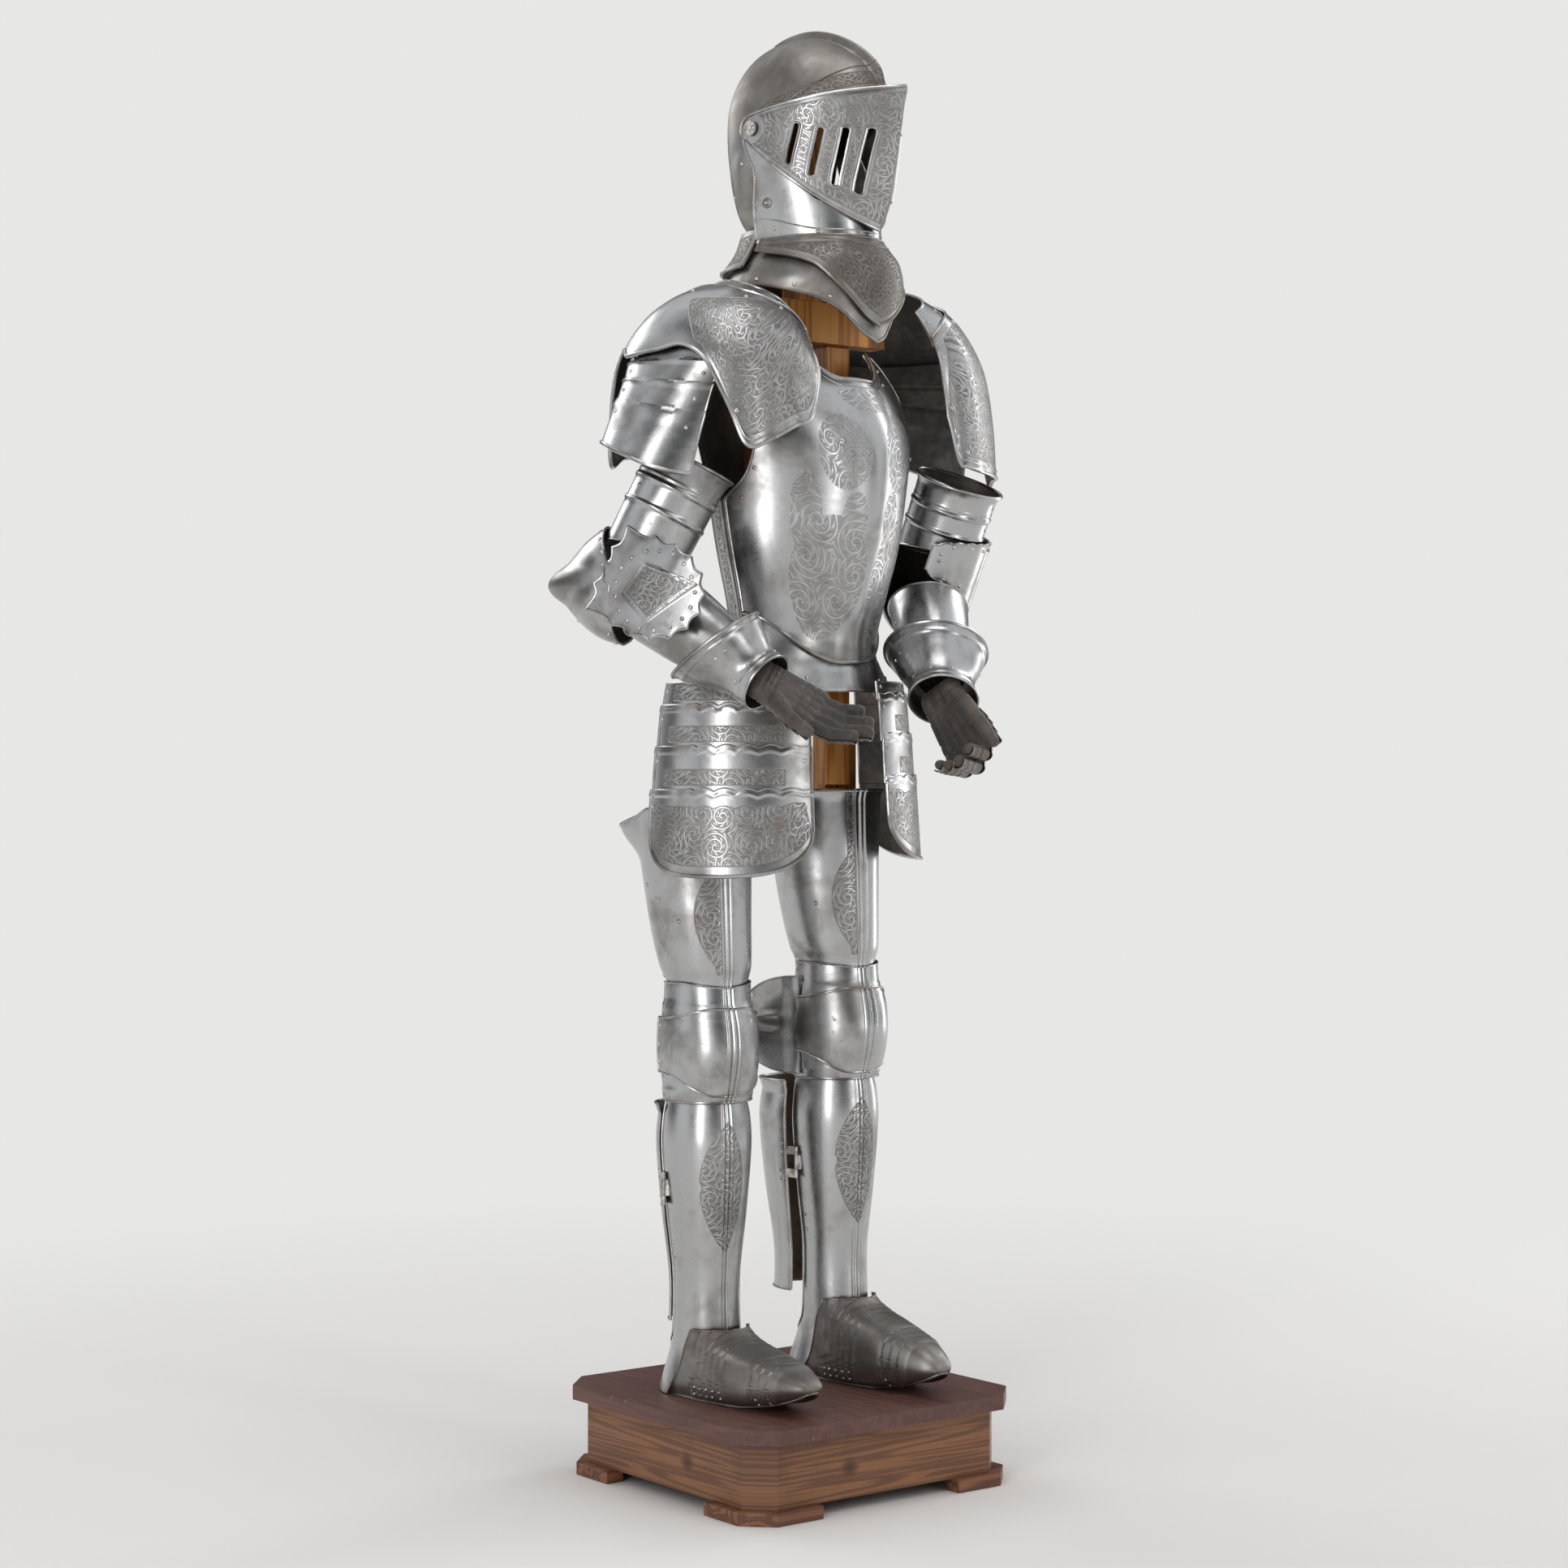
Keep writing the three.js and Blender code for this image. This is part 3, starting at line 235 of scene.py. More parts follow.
def scrolls(net, pitch):
    """Height of a foliate scroll pattern: one leafy spiral in each cell of a fixed scatter.

    The flat coordinates and the pitch are in millimetres.
    """
    uv = net.node("ShaderNodeUVMap", uv_map="flat").outputs[0]
    cell = net.node("ShaderNodeTexVoronoi", voronoi_dimensions="2D", feature="F1")
    cell.inputs["Scale"].default_value = 1 / pitch
    cell.inputs["Randomness"].default_value = 0.62
    net.put(cell.inputs["Vector"], uv)
    offset = net.node("ShaderNodeVectorMath", operation="SUBTRACT")
    net.put(offset.inputs[0], uv)
    net.put(offset.inputs[1], cell.outputs["Position"])
    parts = net.node("ShaderNodeSeparateXYZ")
    net.put(parts.inputs[0], offset.outputs[0])
    tone = net.node("ShaderNodeSeparateColor")
    net.put(tone.inputs[0], cell.outputs["Color"])
    hand = net.math("MULTIPLY", net.math("GREATER_THAN", tone.outputs[0], 0.5), 2.0)
    hand = net.math("SUBTRACT", hand, 1.0)
    angle = net.math("MULTIPLY", net.math("ARCTAN2", parts.outputs[1], parts.outputs[0]), hand)
    length = net.node("ShaderNodeVectorMath", operation="LENGTH")
    net.put(length.inputs[0], offset.outputs[0])
    radius = net.math("DIVIDE", length.outputs["Value"], pitch)
    phase = net.math("MULTIPLY_ADD", angle, 0.5 / math.pi, tone.outputs[1])
    turns = net.math("MULTIPLY_ADD", radius, SCROLL["turns"], phase)
    across = net.math("FRACT", turns)
    stem = net.ramp(net.math("ABSOLUTE", net.math("SUBTRACT", across, 0.18)), 0.17, 0.08)
    phase = net.math("MULTIPLY_ADD", across, 5.5, net.math("MULTIPLY", tone.outputs[2], 6.28))
    lobes = net.math("SINE", net.math("MULTIPLY_ADD", angle, SCROLL["leaves"], phase))
    beside = net.ramp(net.math("ABSOLUTE", net.math("SUBTRACT", across, 0.62)), 0.36, 0.2)
    leaf = net.math("MULTIPLY", net.ramp(lobes, -0.25, 0.3), beside)
    vein = net.ramp(net.math("ABSOLUTE", net.math("SUBTRACT", lobes, 0.75)), 0.06, 0.16)
    return net.math("MAXIMUM", stem, net.math("MULTIPLY", leaf, vein))


SCROLL = {"turns": 4.6, "leaves": 8.0}
RUST = (0.23, 0.095, 0.04)
FILM = (0.2, 0.15, 0.105)  # brown film along the rims
LOOKS = {
    # colours of clean steel, patina and dirt in the hollows
    # smooth and dull are the lowest and highest roughness, worn is where the patina sets in
    "steel": dict(
        clean=(0.47, 0.47, 0.475), patina=(0.25, 0.24, 0.23), dirt=(0.10, 0.085, 0.07), smooth=0.2, dull=0.4,
        worn=(0.46, 0.66),
    ),
    "dark": dict(
        clean=(0.33, 0.32, 0.31), patina=(0.19, 0.172, 0.155), dirt=(0.07, 0.055, 0.04), smooth=0.3,
        dull=0.52, worn=(0.36, 0.6),
    ),
}


def steel(name, look, border=True, etched=True, pitch=17.0, deep=0.62):
    """Polished steel with patina, rust spots and, where the value "band" is above 0, an etched field."""
    k, net = LOOKS[look], Net(name)
    large = net.noise(5.5, 4, 0.6)
    cloud = net.noise(19, 5, 0.62, twist=0.4)
    streak = net.noise(1, 4, 0.6, net.stretch(net.place, (70, 70, 6), (0.25, 0.1, 0)))
    swirl = net.noise(1, 3, 0.6, net.stretch(net.place, (8, 60, 60), (0.2, 0.6, 0.4)), 0.6)
    grain = net.noise(900, 2, 0.6)
    worn = net.ramp(net.math("MULTIPLY_ADD", cloud, 0.45, net.math("MULTIPLY", large, 0.55)), *k["worn"])
    colour = net.mix(worn, k["clean"], k["patina"])
    colour = net.mix(net.ramp(streak, 0.52, 0.78, 0, 0.35), colour, k["patina"])
    rim = net.value("rim")
    film = net.math("MULTIPLY", net.ramp(rim, 11, 0.5), net.ramp(cloud, 0.42, 0.68))
    colour = net.mix(net.math("MULTIPLY", film, 0.62), colour, FILM)
    spots = net.noise(64, 5, 0.62)
    rusty = net.math("MULTIPLY", net.ramp(spots, 0.655, 0.71), net.ramp(large, 0.5, 0.62))
    rusty = net.math("MULTIPLY", rusty, 0.7)
    stain = net.value("rust")
    patch = net.ramp(net.math("ADD", stain, net.math("MULTIPLY", cloud, 0.9)), 0.92, 1.25)
    rusty = net.math("MAXIMUM", rusty, net.math("MULTIPLY", patch, 0.8))
    height = net.math("MULTIPLY", grain, 0.02)
    rough = net.math("MULTIPLY_ADD", swirl, k["dull"] - k["smooth"], k["smooth"] - 0.03)
    rough = net.math("MULTIPLY_ADD", worn, 0.1, rough)
    if etched:
        band = net.value("band")
        field = net.ramp(band, 0.2, 1.0)
        form = scrolls(net, pitch)
        ground = net.math("MULTIPLY", field, net.math("SUBTRACT", 1.0, form))
        line = net.ramp(net.math("ABSOLUTE", net.math("SUBTRACT", band, 0.2)), 1.0, 0.35) if border else None
        cut = net.math("MAXIMUM", ground, line) if border else ground
        shade = net.math("MULTIPLY", cut, net.ramp(cloud, 0.3, 0.7, deep, deep * 0.55))
        colour = net.mix(shade, colour, k["dirt"])
        rough = net.math("MULTIPLY_ADD", cut, 0.2, rough)
        height = net.math("MULTIPLY_ADD", cut, -0.5, height)
    colour = net.mix(rusty, colour, RUST)
    waves = net.noise(13, 2, 0.5, twist=0.3)
    bumps = net.bump(waves, 0.0016, 0.14)
    bumps = net.bump(net.math("MULTIPLY_ADD", streak, 0.05, height), 0.0006, 0.8, bumps)
    return net.done(
        Base_Color=colour,
        Metallic=net.math("SUBTRACT", 1.0, net.math("MULTIPLY", rusty, 0.85)),
        Roughness=net.math("MULTIPLY_ADD", rusty, 0.3, rough, clamp=True),
        Normal=bumps,
    )


def inner_steel():
    net = Net("inner_steel")
    cloud, fine = net.noise(14, 5, 0.6), net.noise(90, 4, 0.6)
    colour = net.mix(net.ramp(cloud, 0.4, 0.65), (0.085, 0.08, 0.075), (0.15, 0.135, 0.12))
    colour = net.mix(net.ramp(fine, 0.6, 0.72, 0, 0.5), colour, (0.13, 0.07, 0.04))
    return net.done(
        Base_Color=colour, Metallic=0.75, Roughness=net.ramp(fine, 0.3, 0.7, 0.5, 0.72),
        Normal=net.bump(fine, 0.0005, 0.5),
    )


def rivet_steel():
    net = Net("rivet_steel")
    cloud = net.noise(120, 3, 0.6)
    colour = net.mix(net.ramp(cloud, 0.4, 0.7), (0.62, 0.61, 0.6), (0.27, 0.23, 0.19))
    return net.done(
        Base_Color=colour, Metallic=1.0, Roughness=net.ramp(cloud, 0.3, 0.7, 0.22, 0.45),
        Normal=net.bump(cloud, 0.0003, 0.4),
    )


def leather(name, colour, worn):
    net = Net(name)
    cloud, pores, crease = net.noise(16, 4, 0.6), net.noise(420, 3, 0.6), net.noise(60, 5, 0.7, twist=1.2)
    c = net.mix(net.ramp(cloud, 0.4, 0.68), colour, worn)
    c = net.mix(net.ramp(crease, 0.58, 0.72, 0, 0.6), c, worn)
    bumps = net.bump(crease, 0.0022, 0.7)
    bumps = net.bump(pores, 0.0006, 0.6, bumps)
    return net.done(
        Base_Color=c, Roughness=net.ramp(crease, 0.3, 0.7, 0.42, 0.66), Normal=bumps, Sheen_Weight=0.15
    )


def wood(name, light, dark, axis="Z", gloss=0.5, knots=True, scuffs=0.0):
    """Sawn softwood: long grain along one axis, growth rings, a few knots, and scuffs in the finish."""
    net = Net(name)
    scale = {"Z": (34, 34, 2.2), "X": (2.2, 34, 34), "Y": (34, 2.2, 34), "round": (1.6, 0, 52)}[axis]
    if axis == "round":  # the boards run level round the plinth
        parts, level = net.node("ShaderNodeSeparateXYZ"), net.node("ShaderNodeCombineXYZ")
        net.put(parts.inputs[0], net.place)
        net.put(level.inputs[0], net.math("ADD", parts.outputs[0], parts.outputs[1]))
        net.put(level.inputs[2], parts.outputs[2])
        net.place = level.outputs[0]
    along = net.stretch(net.place, scale)
    slow = net.noise(1, 2, 0.5, along, 0.4)
    rings = net.math("SINE", net.math("MULTIPLY_ADD", slow, 34.0, net.math("MULTIPLY", net.noise(3, 2), 6.0)))
    fibre = net.noise(1, 4, 0.65, net.stretch(net.place, tuple(s * 9 if s > 5 else s * 2 for s in scale)))
    c = net.mix(net.ramp(rings, -0.5, 0.9), light, dark)
    c = net.mix(net.ramp(fibre, 0.45, 0.75, 0, 0.55), c, dark)
    if knots:
        cell = net.node("ShaderNodeTexVoronoi")
        net.put(cell.inputs["Vector"], net.place)
        cell.inputs["Scale"].default_value = 6.5
        c = net.mix(net.ramp(cell.outputs["Distance"], 0.14, 0.07, 0, 0.85), c, tuple(v * 0.3 for v in dark))
    cloud = net.noise(7, 4, 0.6)
    c = net.mix(net.ramp(cloud, 0.45, 0.75, 0, 0.45), c, tuple(v * 0.45 for v in dark))
    if scuffs:
        mark = net.noise(1, 5, 0.7, net.stretch(net.place, (40, 26, 60)), 0.8)
        c = net.mix(net.ramp(mark, 0.62, 0.72, 0, scuffs), c, (0.34, 0.27, 0.24))
    bumps = net.bump(net.math("ADD", fibre, net.math("MULTIPLY", rings, 0.25)), 0.0004, 0.7)
    return net.done(
        Base_Color=c, Roughness=net.ramp(fibre, 0.3, 0.7, gloss - 0.08, gloss + 0.14), Normal=bumps
    )


MATS = {
    "steel": steel("etched_steel", "steel", pitch=36.0, deep=0.75),
    "free": steel("free_etched_steel", "steel", border=False, pitch=52.0, deep=0.4),
    "plain": steel("plain_steel", "steel", etched=False),
    "dark": steel("helmet_steel", "dark", pitch=30.0, deep=0.7),
    "bare": steel("bare_dark_steel", "dark", etched=False),
    "inner": inner_steel(),
    "rivet": rivet_steel(),
    "glove": leather("glove_leather", (0.028, 0.023, 0.02), (0.085, 0.066, 0.052)),
}


# ---------------------------------------------------------------- mesh tools
def hoops(count, around, wrap=False):
    """Faces that join each ring of points to the next one."""
    faces = []
    for i in range(count if wrap else count - 1):
        k = (i + 1) % count
        for j in range(around):
            m = (j + 1) % around
            faces.append([i * around + j, i * around + m, k * around + m, k * around + j])
    return faces


def caps(count, around):
    """The faces that close both ends of a run of rings."""
    return [list(range(around))[::-1], [(count - 1) * around + j for j in range(around)]]


def circle(around, across, up):
    """Unit offsets round a circle in the plane of two directions."""
    turn = np.radians(np.arange(around) * 360 / around)
    return np.cos(turn)[:, None] * across + np.sin(turn)[:, None] * up


def link(name, mesh):
    obj = bpy.data.objects.new(name, mesh)
    bpy.context.scene.collection.objects.link(obj)
    return obj


def nearest(gap):
    """Row and column of the smallest value."""
    return np.unravel_index(np.argmin(gap), gap.shape)


SHARP = 38  # degrees between two faces from which their edge stays sharp


class Surface:
    """A sheet's outer points and normals, with the two parameters they were made from.

    Edges, lines and rivets follow it.
    """

    def __init__(self, points, normals, us, vs, wrap):
        self.points, self.normals, self.us, self.vs, self.wrap = points, normals, us, vs, wrap

    def spot(self, u, v):
        way = 1 if self.us[0] < self.us[-1] else -1
        i = np.interp(way * u, [way * x for x in self.us], range(len(self.us)))
        j = np.interp(v, self.vs, range(len(self.vs)))
        i0, j0 = min(int(i), len(self.us) - 2), min(int(j), len(self.vs) - 2)
        a, b = i - i0, j - j0

        def pick(g):
            near = g[j0, i0] * (1 - a) + g[j0, i0 + 1] * a
            far = g[j0 + 1, i0] * (1 - a) + g[j0 + 1, i0 + 1] * a
            return near * (1 - b) + far * b

        return pick(self.points), unit(pick(self.normals))

    def edge(self, side):
        pick = {"low": np.s_[0, :], "high": np.s_[-1, :], "left": np.s_[:, 0], "right": np.s_[:, -1]}[side]
        return self.points[pick], self.normals[pick]


class Piece:
    """One visible piece, gathered from sheets, beads and rivets in a local frame in millimetres."""

    def __init__(self, name, frame_):
        self.name, self.frame = name, frame_
        self.co, self.faces, self.kinds, self.uv, self.values = [], [], [], [], []
        self.count = 0

    def add(self, co, faces, kind, uv=None, band=NOT_ETCHED, rim=99.0, rust=0.0):
        n = len(co)
        self.co.append(np.asarray(co, float))
        self.faces += [[i + self.count for i in f] for f in faces]
        self.kinds += [kind] * len(faces) if isinstance(kind, str) else kind
        self.uv += list(uv) if uv is not None else [[(0.0, 0.0)] * len(f) for f in faces]
        self.values.append(np.stack([np.broadcast_to(x, n) for x in (band, rim, rust)], -1).astype(float))
        self.count += n

    def sheet(
        self, points, us, vs, kind="plain", wall=WALL, wrap=False, field=None, keep=None, rust=0.0,
        back="inner", side=-1,
    ):
        """A closed thin plate: the outer face is the grid and the inner face stands one wall behind it."""
        if side > 0:
            points = points[:, ::-1] * np.array([-1.0, 1, 1])
            us = [-u for u in us][::-1]
            field = field if field is None or callable(field) else field[:, ::-1]
            keep = None if keep is None else keep[:, ::-1]
            rust = rust[:, ::-1] if np.ndim(rust) else rust
        nv, nu, _ = points.shape
        du = np.roll(points, -1, 1) - np.roll(points, 1, 1) if wrap else np.gradient(points, axis=1)
        normals = unit(np.cross(du, np.gradient(points, axis=0)))
        cols = nu if wrap else nu - 1
        closed = np.concatenate([points, points[:, :1]], 1) if wrap else points
        run = np.concatenate(
            [np.zeros((nv, 1)), np.cumsum(np.linalg.norm(np.diff(closed, axis=1), axis=-1), 1)], 1
        )
        rise = np.concatenate(
            [np.zeros((1, nu)), np.cumsum(np.linalg.norm(np.diff(points, axis=0), axis=-1), 0)], 0
        )
        rim = np.minimum(rise, rise[-1:] - rise)
        middle = run[:, run.shape[1] // 2 : run.shape[1] // 2 + 1]
        if not wrap:
            rim = np.minimum(rim, np.minimum(run, run[:, -1:] - run))
        band = np.full((nv, nu), NOT_ETCHED) if field is None else field
        if isinstance(field, (int, float)):
            band = np.full((nv, nu), float(field))
        if callable(field):
            way = np.s_[:, ::-1] if side > 0 else np.s_[:, :]
            band = field(rim[way], run[:, :nu], rise[way])[way]
        I, J = np.meshgrid(range(cols), range(nv - 1))
        if keep is None:
            keep = np.ones((nv - 1, cols), bool)
        I, J = I[keep], J[keep]
        K = (I + 1) % nu
        quads = np.stack([J * nu + I, J * nu + K, (J + 1) * nu + K, (J + 1) * nu + I], -1)
        flat = run - middle
        rise_w = np.concatenate([rise, rise[:, :1]], 1)
        corners = ((J, I), (J, I + 1), (J + 1, I + 1), (J + 1, I))
        uvs = np.stack([np.stack([flat[j, i], rise_w[j, i]], -1) for j, i in corners], 1)
        n = nv * nu
        a = quads.ravel()
        b = np.roll(quads, -1, 1).ravel()
        single = ~np.isin(a * n + b, b * n + a)
        a, b = a[single], b[single]
        sides = np.stack([a + n, b + n, b, a], -1)
        inner = quads[:, ::-1] + n
        outer_p = points.reshape(-1, 3)
        inner_p = outer_p - normals.reshape(-1, 3) * wall
        faces = quads.tolist() + inner.tolist() + sides.tolist()
        zero = [[(0.0, 0.0)] * 4]
        uv = uvs.tolist() + uvs[:, ::-1].tolist() + zero * len(sides)
        cut = kind if kind in ("plain", "bare") else "plain"
        kinds = [kind] * len(quads) + [back] * len(quads) + [cut] * len(sides)
        band, rim, rust = (np.tile(np.ravel(x), 2) for x in (band, rim, rust + np.zeros((nv, nu))))
        self.add(np.concatenate([outer_p, inner_p]), faces, kinds, uv, band, rim, rust)
        return Surface(points, normals, us, vs, wrap)

    def bead(self, path, normals, radius=2.0, lift=0.2, kind="plain", wrap=False, around=8):
        """A rolled edge or raised line: a round bead swept along a path."""
        path = path + normals * (lift * radius)
        run = np.roll(path, -1, 0) - np.roll(path, 1, 0) if wrap else np.gradient(path, axis=0)
        tangent = unit(run)
        side = unit(np.cross(tangent, normals))
        up = np.cross(side, tangent)
        turn = np.radians(np.arange(around) * 360 / around)
        rings = path[:, None] + radius * (
            np.cos(turn)[None, :, None] * up[:, None] + np.sin(turn)[None, :, None] * side[:, None]
        )
        n = len(path)
        faces = hoops(n, around, wrap) + ([] if wrap else caps(n, around))
        self.add(rings.reshape(-1, 3), faces, kind, rim=4.0)

    def edges(self, surface, sides, radius=2.0, lift=0.0, kind="plain"):
        for side in sides.split():
            path, normals = surface.edge(side)
            self.bead(
                path - normals * WALL / 2, normals, radius, lift, kind,
                wrap=surface.wrap and side in ("low", "high"),
            )

    def line(self, surface, us, vs, radius=1.3, lift=-0.25, kind="plain"):
        spots = [surface.spot(u, v) for u, v in zip(us, vs)]
        self.bead(np.array([p for p, _ in spots]), np.array([n for _, n in spots]), radius, lift, kind)

    def rivet(self, point, normal, radius=3.2, high=1.9, kind="rivet", around=10):
        side = unit(np.cross(normal, [0.31, 0.17, 0.93]))
        other = np.cross(normal, side)
        levels = [(1.0, -0.3), (1.0, 0.18), (0.86, 0.6), (0.5, 0.92)]
        out = circle(around, side, other)
        co = np.concatenate(
            [point + radius * r * out + normal * high * h for r, h in levels] + [[point + normal * high]]
        )
        faces = hoops(len(levels), around)
        top = (len(levels) - 1) * around
        faces += [[top + j, top + (j + 1) % around, len(co) - 1] for j in range(around)]
        faces += [list(range(around))[::-1]]
        self.add(co, faces, kind)

    def rivets(self, surface, spots, radius=3.2, high=1.9):
        for u, v in spots:
            self.rivet(*surface.spot(u, v), radius, high)

    def build(self, *nodes, body="frame", slot="steel"):
        mesh = bpy.data.meshes.new(self.name)
        co = np.concatenate(self.co) @ self.frame[:3, :3].T + self.frame[:3, 3]
        mesh.from_pydata((co * MM).tolist(), [], self.faces)
        kinds = sorted(set(self.kinds))
        for k in kinds:
            mesh.materials.append(MATS[k])
        order = {k: i for i, k in enumerate(kinds)}
        mesh.polygons.foreach_set("material_index", [order[k] for k in self.kinds])
        mesh.polygons.foreach_set("use_smooth", [True] * len(self.faces))
        flat = mesh.uv_layers.new(name="flat")
        flat.data.foreach_set("uv", np.array([c for f in self.uv for c in f], float).ravel())
        values = np.concatenate(self.values)
        for i, n in enumerate(("band", "rim", "rust")):
            mesh.attributes.new(n, "FLOAT", "POINT").data.foreach_set(
                "value", np.ascontiguousarray(values[:, i], np.float32)
            )
        mesh.update()
        mesh.set_sharp_from_angle(angle=math.radians(SHARP))
        obj = link(self.name, mesh)
        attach(obj, body)
        if nodes:
            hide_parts(*nodes)
        return obj


def dense(a, b):
    """Columns from a to b, close together over the flutes in the middle."""
    wide, fine, half = 3.0, 0.8, 12.0
    left, right = max(2, round(abs(a + half) / wide)), max(2, round(abs(b - half) / wide))
    return steps(a, -half, left)[:-1] + steps(-half, half, round(2 * half / fine)) + steps(half, b, right)[1:]


# ---------------------------------------------------------------- legs
SHIN = table(RING, [
    (124, 0, 2, 62, 54, 62, 74, 2.2),
    (150, 0, 2, 56, 50, 60, 68, 2.1),
    (185, 0, 1, 49, 47, 55, 55, 2),
    (215, 0, 0, 47, 45, 52, 48, 2),
    (264, 0, 0, 46, 44, 50, 46, 2),
    (300, 0, 0, 47, 45, 52, 49, 2),
    (375, 0, 0, 55, 53, 60, 60, 2),
    (465, 0, 0, 62, 60, 66, 68, 2),
    (505, 0, 0, 60, 58, 64, 64, 2),
    (528, 0, 0, 56, 53, 60, 58, 2),
    (545, 0, 0, 53, 50, 57, 54, 2),
])
KNEE = table(RING, [
    (525, 0, 0, 65, 62, 69, 50, 2),
    (545, 0, 0, 67, 64, 76, 51, 2),
    (570, 0, 0, 69, 65, 84, 52, 2.1),
    (600, 0, 0, 70, 66, 88, 54, 2.1),
    (630, 0, 0, 69, 65, 84, 54, 2.1),
    (655, 0, 0, 67, 63, 76, 52, 2),
    (690, 0, 0, 65, 62, 71, 52, 2),
])
THIGH = table(RING, [
    (660, 0, 0, 57, 54, 62, 50, 2),
    (690, 0, 0, 58, 55, 63, 52, 2),
    (708, -1, 1, 65, 61, 68, 56, 2),
    (760, -4, 3, 74, 64, 74, 64, 2),
    (830, -7, 6, 80, 68, 79, 76, 2),
    (900, -9, 10, 85, 74, 84, 90, 2),
    (950, -10, 14, 88, 78, 88, 96, 2),
])
FOOT = table(RING, [
    (126, 0, -2, 53, 51, 150, 30, 2.3),
    (140, 0, -2, 55, 52, 204, 30, 2.4),
    (155, 0, -2, 54, 51, 232, 30, 2.5),
    (168, 0, -2, 53, 50, 236, 28, 2.5),
    (182, 0, -2, 52, 50, 208, 28, 2.4),
    (192, 0, -2, 52, 50, 156, 28, 2.2),
    (200, 0, -2, 51.5, 49.5, 112, 28, 2),
    (209, 0, -2, 51, 49, 80, 28, 2),
    (222, 0, -2, 50.5, 48.5, 57, 28, 2),
])
SEAM = {"high": 217, "low": 126, "front": 51, "rear": 88}
TOE = {"up": 32, "half": 34}
FLUTE = {"pitch": 6.2, "high": 2.6, "half": 3}
HINGE = {"x": -63, "y": 5, "z": 396, "knuckle": 2.6}
LAME = {"high": 2.0, "fall": 1.4, "toe": 1.8, "rivets": (9, 17)}  # relief of the lames on the foot
CALF = {"from": 107, "to": 250.5, "low": 224, "high": 520, "flare": 7}
HEEL = {"from": 101, "low": 127, "side": 0.8, "gap": 1.5}
WING = {
    "near": -8, "far": 86, "high": 136, "drop": 600, "flare": 0.4, "easing": 26, "r": 65.2, "l": 69.2,
    "pleat": 4,
}
SOLE_LAMES = table("near far", [
    (40, 53),
    (53, 66),
    (66, 79),
    (79, 92),
    (92, 105),
    (158, 172),
    (172, 186),
    (186, 200),
])
REST_OPEN = {"r": 12, "l": 45}
POLEYN = {  # each is two lames, stepped at split and standing behind the knee cup
    "upper": {
        "low": 636, "high": 688, "dip": 6, "split": 0.48, "behind": (-LAP - 0.4, -LAP - 1.6), "edge": "high",
        "rows": [0, 0.16, 0.3, 0.46, 0.5, 0.62, 0.74, 0.86, 0.94, 1], "rivets": (0.2, 0.8),
    },
    "lower": {
        "low": 527, "high": 574, "dip": 0, "split": 0.38, "behind": (-LAP + 0.4, -LAP - 0.4), "edge": "low",
        "rows": [0, 0.12, 0.24, 0.36, 0.4, 0.55, 0.7, 0.85, 1], "rivets": (0.16, 0.7),
    },
}


def flutes(deg):
    return FLUTE["high"] * sum(bump(deg - k * FLUTE["pitch"], FLUTE["half"]) for k in (-1, 0, 1))


def lens(deg, z, middle, half, left, right, radius):
    """Millimetres inside a pointed oval field with two lobes on its outer side."""
    share = np.clip(1 - ((z - middle) / half) ** 2, 0, 1) ** 0.85
    reach = np.where(deg < 0, left * (1 - 0.1 * bump(z - middle, 9)), right) * share
    return (reach - np.abs(deg)) * math.radians(1) * radius


def seam_turn(z, end, turn):
    """The angle on the sabaton's rings at which they reach the greave."""
    meet = ring(
        SHIN, end * lerp(SEAM["rear"], SEAM["front"], (z - SEAM["low"]) / (SEAM["high"] - SEAM["low"])), z
    )
    a = math.radians(turn)
    r = at(FOOT, "z", z)
    ahead = r["y"] - (meet[..., 0] * math.sin(a) + meet[..., 1] * math.cos(a))
    share = np.clip(np.abs(ahead) / np.where(ahead > 0, r["front"], r["back"]), 0, 1) ** (r["square"] / 2)
    return 90 - np.degrees(np.sign(ahead) * np.arcsin(share))


